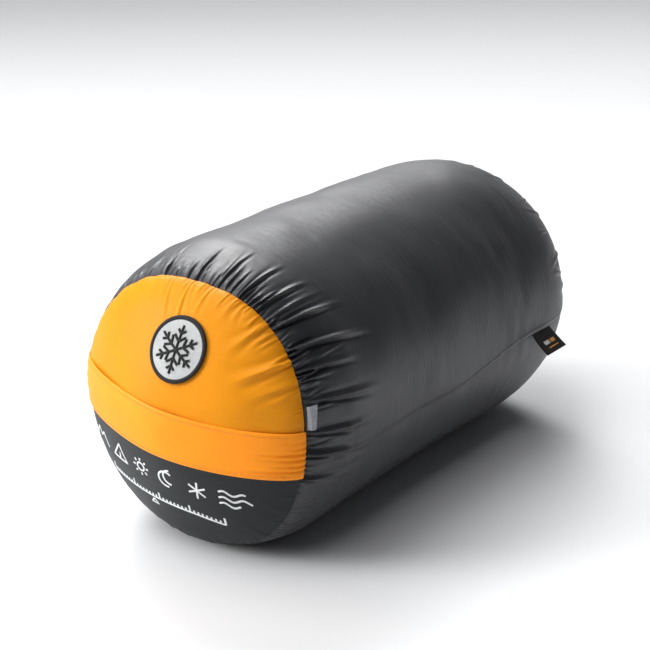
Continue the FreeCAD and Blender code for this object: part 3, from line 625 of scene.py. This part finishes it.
def wall_points(arc, angle, lift=0.0):
    """Points of the wall at a distance along its profile and an angle, lifted by lift."""
    arc, angle = np.broadcast_arrays(arc, angle)
    u = np.interp(arc, ARC, ARC_U)
    r = np.interp(arc, ARC, ARC_R)
    du = np.interp(arc + 1e-4, ARC, ARC_U) - np.interp(arc - 1e-4, ARC, ARC_U)
    dr = np.interp(arc + 1e-4, ARC, ARC_R) - np.interp(arc - 1e-4, ARC, ARC_R)
    size = np.hypot(du, dr)
    out_r, out_u = du / size, -dr / size
    near_seam = np.exp(-arc / SEAM_REACH)
    gather = ring_noise(angle, GATHERS, 3)
    gather = gather * 0.9 * MM * np.exp(-arc / (7 * MM))
    folds = seam_folds.height(arc, angle, RADIUS * 0.94) * (0.35 + 0.65 * np.exp(
        -arc / (60 * MM)))
    label_bed = np.exp(-(wrap(angle - CARE_ANGLE) / 0.13) ** 4 - (arc / (9 * MM)) ** 4)
    folds, gather = folds * (1 - label_bed), gather * (1 - label_bed)
    back = arc_end - arc
    fold_r = np.maximum(r, 12 * MM)
    ruffles = mouth_folds.height(back, angle, fold_r) * smoothstep(back / (60 * MM) + 0.4)
    slack = cloth_noise(u, angle, 46 * MM, 11, 7) * 0.75 * MM
    slack = slack + cloth_noise(u, angle, 21 * MM, 25, 8) * 0.45 * MM
    crinkles = cloth_noise(u, angle, 7 * MM, 30, 9) * cloth_noise(u, angle, 40 * MM, 9, 10)
    slack = slack + crinkles * 0.5 * MM
    slack = slack * smoothstep(arc / (30 * MM)) * smoothstep(back / (40 * MM))
    dip = -1.2 * MM * np.exp(-arc / (2.0 * MM))
    away = wrap(angle - seam_angle(arc)) * RADIUS
    felled = np.where(np.abs(away) < 9 * MM, 0.35 * MM * np.tanh(away / (0.5 * MM)) * np.exp(
        -(away / (4.5 * MM)) ** 2), 0) - 0.3 * MM * np.exp(-(away / (0.9 * MM)) ** 2)
    felled = felled * smoothstep(back / (30 * MM))
    height = gather + folds + ruffles + slack + dip + felled + lift - seam_in(angle) * near_seam
    r = r + out_r * height
    u = u + out_u * height + seam_wave(angle) * near_seam
    x = r * np.cos(angle) + shift_at(u)
    z = floor_rest(AXIS_Z + r * np.sin(angle))
    return np.stack([x, SEAM_Y + u, z], -1)


columns = 1280
angles = np.linspace(0, TAU, columns, endpoint=False)
steps = [0.0]
while steps[-1] < arc_end:
    here, left = steps[-1], arc_end - steps[-1]
    fine = 0.8 * MM if here < 60 * MM or left < 60 * MM else 1.6 * MM
    steps.append(here + fine * 1 * (2 if 90 * MM < here < arc_end - 90 * MM
                                                      else 1))
steps[-1] = arc_end
arcs = np.array(steps)
grid_arc, grid_angle = np.meshgrid(arcs, angles, indexing="ij")
wall_uv = np.stack([grid_angle * RADIUS, grid_arc], -1)
wall = piece("wall_cloth", grid_mesh("wall_cloth", wall_points(grid_arc, grid_angle), wall_uv,
                                     wrap=True), "sack", wall_cloth,
             ["side_wall"])


# ---------------- the base's surface

def base_turned(p, q):
    c, s = math.cos(BASE_TILT), math.sin(BASE_TILT)
    return p * c - q * s, p * s + q * c


base_folds = Folds(31)


def base_strength(angle):
    return 0.25 + 0.6 * from_degrees(38, 42)(angle)


base_folds.scatter(96, (4 * MM, 12 * MM), (0.3 * MM, 0.8 * MM), (0.7 * MM, 1.3 * MM),
                   base_strength)
base_folds.scatter(26, (10 * MM, 24 * MM), (0.3 * MM, 0.9 * MM), (1.2 * MM, 2.2 * MM),
                   base_strength)
base_folds.place(
    (33, 30, 1.8, 2.6, 0.15, 0), (24, 24, 0.8, 2.0, 0.05, 0), (50, 22, 0.9, 2.2, 0.1, 0),
    (88, 34, 0.5, 1.2, -0.1, 0), (97, 26, 0.4, 1.2, -0.12, 0), (78, 18, 0.4, 1.2, 0.0, 0),
)


def base_height(x, z):
    """Displacement of the base cloth at x, z, measured from the middle of the base."""
    rho = np.hypot(x, z)
    angle = np.arctan2(z, x)
    inwards = SEAM_RADIUS - rho
    folds = base_folds.height(inwards, angle, np.maximum(rho, 20 * MM))
    gather = ring_noise(angle, GATHERS, 3)
    gather = gather * 0.5 * MM * np.exp(-inwards / (4 * MM))
    slack = noise(8, 64, (x + 0.1) / (28 * MM), (z + 0.1) / (28 * MM), 14) * 0.7 * MM
    return folds + gather + slack * smoothstep(inwards / (20 * MM)) - 0.8 * MM * np.exp(
        -inwards / (2 * MM))


def base_points(p, q, lift=0.0, smooth=0.0):
    """Points on the base, lifted along its normal. smooth (0 to 1) leaves out its folds."""
    x, z = base_turned(p, q)
    rho = np.maximum(np.hypot(x, z), 1e-6)
    share = np.clip(rho / SEAM_RADIUS, 0, 1)
    fall = np.clip(1 - share ** BASE_POWER, 1e-9, 1)
    depth = BASE_DEPTH * fall ** (1 / BASE_POWER)
    slope = BASE_DEPTH / SEAM_RADIUS * share ** (BASE_POWER - 1) * fall ** (1 / BASE_POWER - 1)
    slope = np.minimum(slope, 1.6)
    size = np.hypot(1, slope)
    height = base_height(x, z) * (1 - smooth) + lift
    angle = np.arctan2(z, x)
    out = slope / size * height
    y = SEAM_Y - depth - height / size + seam_wave(angle) * np.exp(-(SEAM_RADIUS - rho) / (
        20 * MM))
    k = (rho + out - seam_in(angle) * (rho / SEAM_RADIUS) ** 3) / rho
    return np.stack([x * k + BASE_SHIFT, y, floor_rest(AXIS_Z + z * k)], -1)


def base_panel(name, start, end, material, replaced):
    """Half of the base, as a fan of rows from near its middle out to the seam."""
    rows = 110
    cols = 420
    share = np.linspace(0.002, 1, rows) ** 0.8
    turn = np.linspace(start, end, cols)
    rho, angle = np.meshgrid(share * SEAM_RADIUS, turn, indexing="ij")
    p, q = rho * np.cos(angle), rho * np.sin(angle)
    uv = np.stack([p, q], -1)
    mesh = grid_mesh(name, base_points(p, q), uv)
    return piece(name, mesh, "sack", material, replaced)


upper = base_panel("upper_base_cloth", 0, math.pi, upper_cloth, ["base_upper_panel"])
lower = base_panel("lower_base_cloth", math.pi, TAU, lower_cloth, ["base_lower_panel"])

# ---------------- the strap across the base


def strap_folds(s, q):
    """Creases that run along the strap from its right end, and a few from its left."""
    total = np.zeros_like(s)
    for side, offset, depth, wide, reach in (
        (1, -9.0, 0.9, 0.8, 34), (1, -6.2, 0.8, 0.6, 16), (1, -2.6, 0.8, 0.7, 20),
        (1, 0.6, 0.9, 0.8, 26), (1, 4.0, 0.5, 0.7, 13), (1, 7.6, 0.4, 0.6, 9),
        (-1, -7.0, 0.6, 0.8, 14), (-1, -1.0, 0.7, 0.9, 20), (-1, 5.0, 0.6, 0.8, 15),
    ):
        end = SEAM_RADIUS - side * s
        fade = smoothstep((reach * MM - end) / (0.8 * reach * MM))
        drift = 0.06 * end
        total -= depth * MM * fade * np.exp(-((q - offset * MM + drift) / (wide * MM)) ** 2)
        total += 0.5 * depth * MM * fade * np.exp(
            -((q - (offset + 1.8) * MM + drift) / (1.1 * wide * MM)) ** 2)
    return total


def strap_points(share, q, lift):
    """Points on the strap: share runs from -1 to 1 between its sewn ends."""
    arched = q + STRAP_ARCH * share * np.abs(share)
    end = np.sqrt((SEAM_RADIUS + 0.2 * MM) ** 2 - arched ** 2)
    p = share * end
    hem = np.minimum(q - STRAP_FOOT, STRAP_TOP - q)
    rolled = 0.35 * MM * smoothstep(hem / (1.2 * MM)) - 0.18 * MM * np.exp(
        -((hem - STRAP_HEM) / (0.35 * MM)) ** 2)
    relief = strap_folds(p, q)
    clear = STRAP_CLEAR - 0.5 * MM * smoothstep((-share - 0.7) / 0.3)
    return base_points(p, arched, clear + lift + rolled + relief, smooth=1.0)


def lift_with_handle(item):
    """Bakes the piece's placement into its mesh; the piece stays where it was built."""
    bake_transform(item)


strap_rows = 64
strap_cols = 300
q_line = np.linspace(STRAP_FOOT, STRAP_TOP, strap_rows)
share_line = np.linspace(-1, 1, strap_cols)
grid_q, grid_share = np.meshgrid(q_line, share_line, indexing="ij")
strap_grid = strap_points(grid_share, grid_q, 0.0)
strap_uv = np.stack([grid_share * SEAM_RADIUS, grid_q], -1)
strap = piece("grab_strap", grid_mesh("grab_strap", strap_grid, strap_uv), None, strap_cloth)
thicken(strap, STRAP_THICKNESS)
lift_with_handle(strap)
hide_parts("grab_handle")


# ---------------- ribbons of thread and print

def densify(points, step):
    """Points along a chain of straight runs, at most a step apart."""
    points = [np.array(p, float) for p in points]
    out = [points[0]]
    for a, b in zip(points, points[1:]):
        count = max(1, int(math.ceil(np.linalg.norm(b - a) / step)))
        out += [a + (b - a) * k / count for k in range(1, count + 1)]
    return np.array(out)


def ribbon_mesh(name, line, width, place, lift, bulge):
    """A raised ribbon along a flat line: place(p, q, lift) puts its points on the surface."""
    line = densify(line, 0.7 * MM)
    ahead = np.gradient(line, axis=0)
    ahead /= np.maximum(np.linalg.norm(ahead, axis=1), 1e-9)[:, None]
    side = np.stack([-ahead[:, 1], ahead[:, 0]], -1)
    across = np.array([-1, -1, -0.6, 0, 0.6, 1, 1])
    heights = np.array([-0.25 * MM, 0.4 * lift, lift + 0.75 * bulge, lift + bulge,
                        lift + 0.75 * bulge, 0.4 * lift, -0.25 * MM])
    flat = line[:, None, :] + side[:, None, :] * across[None, :, None] * width / 2
    tall = np.broadcast_to(heights, flat.shape[:2])
    points = place(flat[..., 0], flat[..., 1], tall)
    uv = np.stack([flat[..., 0], flat[..., 1]], -1)
    return grid_mesh(name, points, uv)


def on_base(p, q, lift):
    return base_points(p, q, lift, smooth=1.0)


def circle_line(p, q, radius, count=40, start=0.0, sweep=TAU):
    turn = np.linspace(start, start + sweep, count)
    return [(p + radius * math.cos(a), q + radius * math.sin(a)) for a in turn]


# ---------------- the badge

def badge_disc(name, radius, lift, rows, cols):
    share = np.linspace(0.001, 1, rows)
    turn = np.linspace(0, TAU, cols)
    rho, angle = np.meshgrid(share * radius, turn, indexing="ij")
    p, q = BADGE_SIDE + rho * np.cos(angle), BADGE_UP + rho * np.sin(angle)
    return grid_mesh(name, on_base(p, q, lift), np.stack([p, q], -1))


piece("badge_ground_cloth", badge_disc("badge_ground_cloth", BADGE_RADIUS - 0.8 * MM,
                                       1.0 * MM, 14, 72), "sack", twill,
      ["badge_ground"])


def merrowed_rim():
    """A round rim of slanting threads wound over the badge's edge."""
    rows, cols = 14, 560
    around = np.linspace(0, TAU, cols)
    turn = np.linspace(-0.35 * math.pi, 1.35 * math.pi, rows)
    t, a = np.meshgrid(turn, around, indexing="ij")
    wound = 1 + 0.09 * np.sin(a * 92 + t * 1.4)
    across = np.cos(t) * 1.15 * MM * wound
    tall = (0.75 + 0.75 * np.sin(t) * wound) * MM
    rho = BADGE_RADIUS - 1.0 * MM + across
    p, q = BADGE_SIDE + rho * np.cos(a), BADGE_UP + rho * np.sin(a)
    uv = np.stack([a * BADGE_RADIUS, t * MM], -1)
    return grid_mesh("badge_rim", on_base(p, q, tall), uv)


piece("badge_rim", merrowed_rim(), "sack", thread, ["badge_border"])


def star_lines():
    """The arms and side branches of a plain snow star, as lines from the badge's middle."""
    lines = []
    for arm in range(6):
        turn = TAU * arm / 6 + TAU / 12
        c, s = math.cos(turn), math.sin(turn)

        def out(x, y):
            return (BADGE_SIDE + (x * c - y * s) * MM, BADGE_UP + (x * s + y * c) * MM)
        lines.append([out(0.2, 0), out(12.2, 0)])
        for foot, reach in ((4.2, 4.4), (8.0, 3.0)):
            for side in (1, -1):
                lines.append([out(foot, 0), out(foot + 0.62 * reach, side * 0.78 * reach)])
    return lines


piece("badge_star", joined("badge_star", [
    ribbon_mesh("arm", line, 1.75 * MM, on_base, 1.15 * MM, 0.45 * MM) for line in star_lines()
]), "sack", thread, ["badge_emblem"])


# ---------------- the print on the base

PRINT_WIDTH = 1.1 * MM


def pictograms():
    """Plain outdoor signs in a row, and a comfort scale with no figures below them."""
    def at(x, y):
        return (x * MM, y * MM)

    def spokes(x, y, inner, outer, count, turn=0.0):
        return [[at(x + inner * math.cos(a), y + inner * math.sin(a)),
                 at(x + outer * math.cos(a), y + outer * math.sin(a))]
                for a in np.arange(count) * TAU / count + turn]

    row = -29.0
    peaks = [at(-60, row - 5), at(-54.5, row + 4), at(-51.5, row - 0.5), at(-49, row + 2.5),
             at(-44, row - 5)]
    tent = [at(-37.5, row - 5), at(-31, row + 5), at(-24.5, row - 5), at(-37.5, row - 5)]
    lines = [peaks, tent, [at(-31, row - 4.8), at(-31, row - 0.4)]]
    lines.append(circle_line(-12 * MM, row * MM, 2.6 * MM, 24))
    lines += spokes(-12, row, 4.0, 5.8, 8)
    lines.append(circle_line(6.5 * MM, row * MM, 5.0 * MM, 26, 0.28 * math.pi, 1.3 * math.pi))
    lines.append(circle_line(9.5 * MM, (row + 2) * MM, 4.7 * MM, 20, 0.53 * math.pi,
                             0.98 * math.pi))
    lines += spokes(25, row, 0.0, 5.4, 6, 0.5)
    for k, reach in enumerate((14, 17, 11)):
        lines.append([at(37 + x, row + 3.6 - 3.6 * k + 1.0 * math.sin(x * 0.62))
                      for x in np.linspace(0, reach, 24)])
    scale = -47.5
    lines.append([at(-42, scale), at(38, scale)])
    for k in range(33):
        tall = 5.0 if k % 8 == 0 else 2.4
        lines.append([at(-42 + 2.5 * k, scale), at(-42 + 2.5 * k, scale + tall)])
    lines.append([at(-7, scale - 1.6), at(-4.6, scale - 5), at(-9.4, scale - 5),
                  at(-7, scale - 1.6)])
    return lines


def on_print(p, q, lift):
    return base_points(p, q, 0.10 * MM + 0.4 * lift)


piece("base_print", joined("base_print", [
    ribbon_mesh("mark", line, PRINT_WIDTH, on_print, 0.12 * MM, 0.05 * MM)
    for line in pictograms()
]), "sack", white_print)


# ---------------- stitching

def stitch_mesh(name, a, b, radius):
    """One stitch from a to b, a short tube that dips at both ends."""
    a, b = np.array(a), np.array(b)
    return tube_mesh(name, [a, a * 0.7 + b * 0.3, a * 0.3 + b * 0.7, b], radius, 6)


def strap_stitches():
    out = []
    for edge in (STRAP_FOOT + STRAP_HEM, STRAP_TOP - STRAP_HEM):
        for start in np.arange(-72, 70, 3.1):
            s = np.array([start, start + 2.3]) * MM / (SEAM_RADIUS - 0.3 * MM)
            q = np.full(2, edge)
            points = strap_points(s, q, 0.16 * MM)
            out.append(stitch_mesh("stitch", points[0], points[1], 0.17 * MM))
    return joined("strap_stitches", out)


stitches = piece("strap_stitches", strap_stitches(), None, orange_thread)
lift_with_handle(stitches)


def seam_stitches():
    """Topstitching along the lengthwise seam."""
    out = []
    for start in np.arange(14, 268, 3.4):
        arc = np.array([start, start + 2.5]) * MM
        points = wall_points(arc, seam_angle(arc) + 2.6 * MM / RADIUS, 0.12 * MM)
        out.append(stitch_mesh("stitch", points[0], points[1], 0.16 * MM))
    return joined("seam_stitches", out)


piece("seam_stitches", seam_stitches(), "sack", grey_thread)


# ---------------- labels

def folded_ribbon(name, place, length, width, gap, rows=26, cols=18):
    """Two plies and the fold that joins them. place(along, across, height) puts points."""
    half = length + math.pi * gap / 2
    run = np.linspace(0, 2 * length + math.pi * gap, rows * 2)
    turn = np.clip((run - length) / gap, 0, math.pi)
    returned = np.maximum(run - length - math.pi * gap, 0)
    along = np.minimum(run, length) + gap * np.sin(turn) - returned
    height = gap * np.cos(turn)
    across = np.linspace(-width / 2, width / 2, cols)
    tall, side = np.meshgrid(height, across, indexing="ij")
    forward, _ = np.meshgrid(along, across, indexing="ij")
    closing = np.clip(forward / (0.35 * half), 0.25, 1)
    points = place(forward, side, tall * closing)
    uv = np.stack([np.meshgrid(run, across, indexing="ij")[0], side], -1)
    return grid_mesh(name, points, uv)


side_low, side_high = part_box("side_label")
SIDE_WIDTH = side_high[1] - side_low[1]
SIDE_LENGTH = 15.5 * MM
SIDE_DROP = math.radians(47)


def on_side_label(along, across, tall):
    """Points on the side label, which curls a little and twists towards its free corner."""
    curl = 1.6 * MM * (along / SIDE_LENGTH) ** 2 + 0.9 * MM * (across / SIDE_WIDTH) * (
        along / SIDE_LENGTH)
    height = tall + curl
    x = along * math.cos(SIDE_DROP) + height * math.sin(SIDE_DROP)
    z = -along * math.sin(SIDE_DROP) + height * math.cos(SIDE_DROP)
    return np.stack([side_pivot[0] + x, side_pivot[1] + across, side_pivot[2] + z], -1)


side_label = piece("side_label_ribbon", folded_ribbon(
    "side_label_ribbon", on_side_label, SIDE_LENGTH, SIDE_WIDTH, 0.45 * MM),
    "side_label", damask, ["side_label"])
thicken(side_label, 0.25 * MM, 1)


def label_bar(name, across, along, wide, long, material):
    rows = np.linspace(along - long / 2, along + long / 2, 5)
    cols = np.linspace(across - wide / 2, across + wide / 2, 7)
    a, c = np.meshgrid(rows, cols, indexing="ij")
    item = piece(name, grid_mesh(name, on_side_label(a, c, 0.78 * MM + 0 * a),
                                 np.stack([c, a], -1)), "side_label", material)
    thicken(item, 0.08 * MM, 1)


for label, across, along, wide, long, material in (
    ("white", -3.6, 8.5, 5.6, 2.6, white_thread),
    ("orange", 3.0, 8.5, 4.8, 2.6, label_orange),
    ("thin", 0.0, 12.2, 10.5, 0.7, label_orange),
):
    label_bar(f"side_label_{label}_bar", across * MM, along * MM, wide * MM, long * MM,
              material)


def on_care_label(along, across, tall):
    """Points on the care label: a sewn margin in the base seam, and the rest lying back
    along the wall."""
    shown = along - (2.0 - 0.8 * (2 * across / CARE_TALL)) * MM
    arc = 0.3 * MM + np.maximum(shown, 0) * 0.94
    angle = CARE_ANGLE + across / SEAM_RADIUS
    stand = np.where(shown > 0, 0.8 * MM + 0.22 * shown, 0.8 * MM + shown) + tall
    radius = np.interp(arc, ARC, ARC_R) + stand
    curl = 0.7 * MM * (2 * across / CARE_TALL) * (along / (8 * MM))
    x = radius * np.cos(angle) + shift_at(arc) + curl
    return np.stack([x, SEAM_Y + arc, AXIS_Z + radius * np.sin(angle)], -1)


care_label = piece("care_label_ribbon", folded_ribbon(
    "care_label_ribbon", on_care_label, CARE_LENGTH, CARE_TALL, 0.3 * MM), None, satin)
thicken(care_label, 0.15 * MM, 1)
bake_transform(care_label)
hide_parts("care_label")


# ---------------- the gathered mouth

HEM_Y = (hem_low[1] + hem_high[1]) / 2
HEM_RING = 15 * MM
HEM_TUBE = 5 * MM


def hem_cloth():
    """The cord channel, gathered into folds round the drawcord."""
    rows, cols = ((30, 540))
    tube = np.linspace(0, TAU, rows)
    around = np.linspace(0, TAU, cols)
    t, a = np.meshgrid(tube, around, indexing="ij")
    folds = ring_noise(a, 44, 41) * 0.9 * MM
    folds += ring_noise(a, 90, 42) * 0.35 * MM
    outside = smoothstep(0.5 + 0.7 * np.cos(t))
    r = HEM_TUBE * 0.93 + folds * (0.35 + 0.65 * outside)
    r += 0.3 * MM * np.sin(2 * t + a * 3)
    rho = HEM_RING + r * np.cos(t)
    y = HEM_Y + r * 0.96 * np.sin(t)
    points = np.stack([rho * np.cos(a), y, AXIS_Z + rho * np.sin(a)], -1)
    return grid_mesh("mouth_hem_cloth", points, np.stack([a * HEM_RING * 1.6, t * HEM_TUBE],
                                                         -1), flip=True)


piece("mouth_hem_cloth", hem_cloth(), "sack", flap_cloth, ["mouth_hem"])


def cord_buttonhole():
    """The worked slot in the hem that the two strands leave by."""
    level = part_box("drawcord")[1][2] - 1.3 * MM
    loops = []
    for k in range(34):
        a = TAU * k / 34
        c, s = math.cos(a), math.sin(a)
        y = HEM_Y + HEM_TUBE * 0.99
        inner = (c * 3.1 * MM, y - 0.2 * MM, level + s * 1.6 * MM)
        outer = (c * 4.3 * MM, y - 0.5 * MM, level + s * 2.7 * MM)
        loops.append(stitch_mesh("loop", inner, outer, 0.2 * MM))
    return joined("buttonhole", loops)


piece("cord_buttonhole", cord_buttonhole(), "sack", thread)


def flap_cloth_mesh():
    """The dust flap under the mouth, drawn in and crumpled."""
    _, flap_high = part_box("dust_flap")
    rows, cols = 40, 160
    share = np.linspace(0.001, 1, rows)
    rho, a = np.meshgrid(share * 40 * MM, np.linspace(0, TAU, cols), indexing="ij")
    x, z = rho * np.cos(a), rho * np.sin(a)
    crumple = noise(20, 40, (x + 0.06) / (7 * MM), (z + 0.06) / (9 * MM), 51) * 0.7 * MM
    crumple += noise(20, 40, (x + 0.06) / (13 * MM), (z + 0.06) / (6 * MM), 52) * 0.5 * MM
    y = flap_high[1] - 1.6 * MM - rho ** 2 / (2 * 162 * MM) + crumple
    return grid_mesh("dust_flap_cloth", np.stack([x, y, AXIS_Z + z], -1),
                     np.stack([x, z], -1), flip=True)


flap = piece("dust_flap_cloth", flap_cloth_mesh(), "sack", flap_cloth, ["dust_flap"])


# ---------------- seam allowances inside

def inside_strip(name, arcs, angles, body, material, node):
    a, t = np.meshgrid(arcs, angles, indexing="ij")
    item = piece(name, grid_mesh(name, wall_points(a, t, -1.7 * MM), np.stack(
        [t * RADIUS, a], -1)), body, material, [node])
    thicken(item, 0.4 * MM)
    return item


binding = tape("binding tape", (0.03, 0.03, 0.033))
inside_strip("base_binding_tape", np.linspace(1.5, 9.5, 9) * MM, np.linspace(0, TAU, 300),
             "sack", binding, "base_seam_binding")
inside_strip("side_seam_allowance", np.linspace(12, 244, 150) * MM,
             SEAM_ANGLE + np.linspace(-4, 4, 9) * MM / RADIUS, "sack", binding,
             "side_seam_tape")

# ---------------- the locks' springs

SPRING_WIRE = 0.3 * MM
SPRING_TURNS = 6


def lock_spring(node, material):
    """A coil of wire in its CAD part's box, rising evenly from the box's lower end to its top."""
    low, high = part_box(node)
    reach = (high[0] - low[0]) / 2 - SPRING_WIRE
    foot, top = low[2] + SPRING_WIRE, high[2] - SPRING_WIRE
    rise = np.linspace(0, 1, SPRING_TURNS * 20 + 1)
    turn = rise * SPRING_TURNS * TAU
    path = np.stack([(low[0] + high[0]) / 2 + reach * np.cos(turn),
                     (low[1] + high[1]) / 2 + reach * np.sin(turn),
                     foot + rise * (top - foot)], -1)
    coil = piece(f"{node}_coil", tube_mesh(f"{node}_coil", path, SPRING_WIRE, 8), "sack",
                 material, [node])
    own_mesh(coil)


steel = metal("spring steel", (0.55, 0.55, 0.57))
lock_spring("cord_lock_spring", steel)
lock_spring("hood_lock_spring", steel)

# ---------------- carried-over CAD nodes

cord_finish = braid("cord braid", (0.02, 0.02, 0.021))
lock_finish = plastic("lock plastic", (0.014, 0.014, 0.015))
button_finish = plastic("button plastic", (0.020, 0.020, 0.021), 0.36)
slider_finish = metal("slider enamel", (0.03, 0.03, 0.032), 0.35, 0.3)
bag_shell = tape("bag shell taffeta", (0.72, 0.26, 0.03), 0.35, rough=0.5)
bag_lining = tape("bag lining taffeta", (0.03, 0.034, 0.038), 0.35, rough=0.55)
wall_body = tape("wall inside", GREY)
finishes = {                   # those of replaced nodes show only if a piece is hidden
    "drawcord": cord_finish, "hood_drawcord": cord_finish,
    "cord_lock_barrel": lock_finish, "hood_lock_barrel": lock_finish,
    "cord_lock_plunger": button_finish, "hood_lock_plunger": button_finish,
    "cord_lock_spring": steel, "hood_lock_spring": steel,
    "side_wall": wall_body, "base_upper_panel": tape("upper panel inside", YELLOW),
    "base_lower_panel": tape("lower panel inside", CHARCOAL), "mouth_hem": wall_body,
    "dust_flap": wall_body, "grab_handle": orange_thread, "badge_ground": twill,
    "badge_border": thread, "badge_emblem": thread, "care_label": satin,
    "side_label": damask, "base_seam_binding": binding, "side_seam_tape": binding,
    "zip_slider": slider_finish, "zip_pull": slider_finish,
    "zip_coils": plastic("zip coil nylon", (0.02, 0.02, 0.021), 0.4),
    "zip_tapes": tape("zip tape", (0.02, 0.02, 0.021)),
    "shell_fabric": bag_shell, "hood_hem": bag_shell,
    "lining_fabric": bag_lining, "draft_tube": bag_lining,
    "insulation": wadding("polyester wadding", (0.75, 0.75, 0.74)),
    "hanging_loops": tape("loop grosgrain", (0.02, 0.02, 0.021)),
}
for node, finish in finishes.items():
    item = frame["nodes"][node]
    item.data.materials.clear()
    item.data.materials.append(finish)

# ---------------- the strap's middle line

strap_middle = strap_points(share_line, np.zeros(strap_cols), 0.0)

# ---------------- stage and light

view_right = Vector((math.cos(CAMERA_AZIMUTH), math.sin(CAMERA_AZIMUTH), 0))
view_back = Vector((math.sin(CAMERA_AZIMUTH), -math.cos(CAMERA_AZIMUTH), 0))


def stage_mesh():
    """A pale floor that sweeps up into a backdrop behind the object."""
    floor_in, floor_out, radius, rise = -3.0, 3.2, 1.2, 3.0
    path = [(floor_in, 0.0), (floor_out, 0.0)]
    path += [(floor_out + radius * math.sin(a), radius * (1 - math.cos(a)))
             for a in np.linspace(0, math.pi / 2, 14)[1:]]
    path.append((floor_out + radius, rise))
    vertices = []
    for along, up in path:
        for across in (-4.5, 4.5):
            vertices.append(view_right * across - view_back * along + Vector((0, 0, up)))
    faces = [(2 * i, 2 * i + 1, 2 * i + 3, 2 * i + 2) for i in range(len(path) - 1)]
    mesh = bpy.data.meshes.new("backdrop")
    mesh.from_pydata([tuple(v) for v in vertices], [], faces)
    smooth_faces(mesh)
    return mesh


paper = Nodes("backdrop paper")
paper.set(Base_Color=(0.72, 0.725, 0.735, 1), Roughness=0.9, Specular_IOR_Level=0.1)
backdrop = bpy.data.objects.new("backdrop", stage_mesh())
backdrop.data.materials.append(paper.material)
bpy.context.scene.collection.objects.link(backdrop)


def softbox(name, direction, distance, size, power, spread):
    """A soft rectangular light that faces the object from a direction."""
    light = bpy.data.lights.new(name, "AREA")
    light.shape = "RECTANGLE"
    light.size, light.size_y = size
    light.energy = power
    light.spread = math.radians(spread)
    item = bpy.data.objects.new(name, light)
    direction = Vector(direction).normalized()
    item.location = Vector((0, 0, 0.08)) + direction * distance
    item.rotation_euler = direction.to_track_quat("Z", "Y").to_euler()
    bpy.context.scene.collection.objects.link(item)


up = Vector((0, 0, 1))
for name, (right, back, rise), distance, size, power, spread in (
    ("main", (-0.55, -0.10, 1.2), 4.5, (3.4, 3.0), 118, 180),
    ("top", (-0.35, 0.45, 1.0), 4.5, (3.4, 3.0), 84, 180),
    ("rim", (-0.22, -1.0, 0.92), 3.2, (2.6, 1.8), 14, 42),
    ("side", (-1.0, 0.15, 0.35), 3.5, (1.6, 1.6), 14, 50),
):
    softbox(name, right * view_right + back * view_back + rise * up, distance, size, power,
            spread)

world = bpy.data.worlds.new("studio")
world.use_nodes = True
background = next(n for n in world.node_tree.nodes if n.type == "BACKGROUND")
background.inputs["Color"].default_value = (0.93, 0.95, 1.0, 1)
background.inputs["Strength"].default_value = 0.09
bpy.context.scene.world = world
bpy.context.scene.view_settings.view_transform = "Standard"
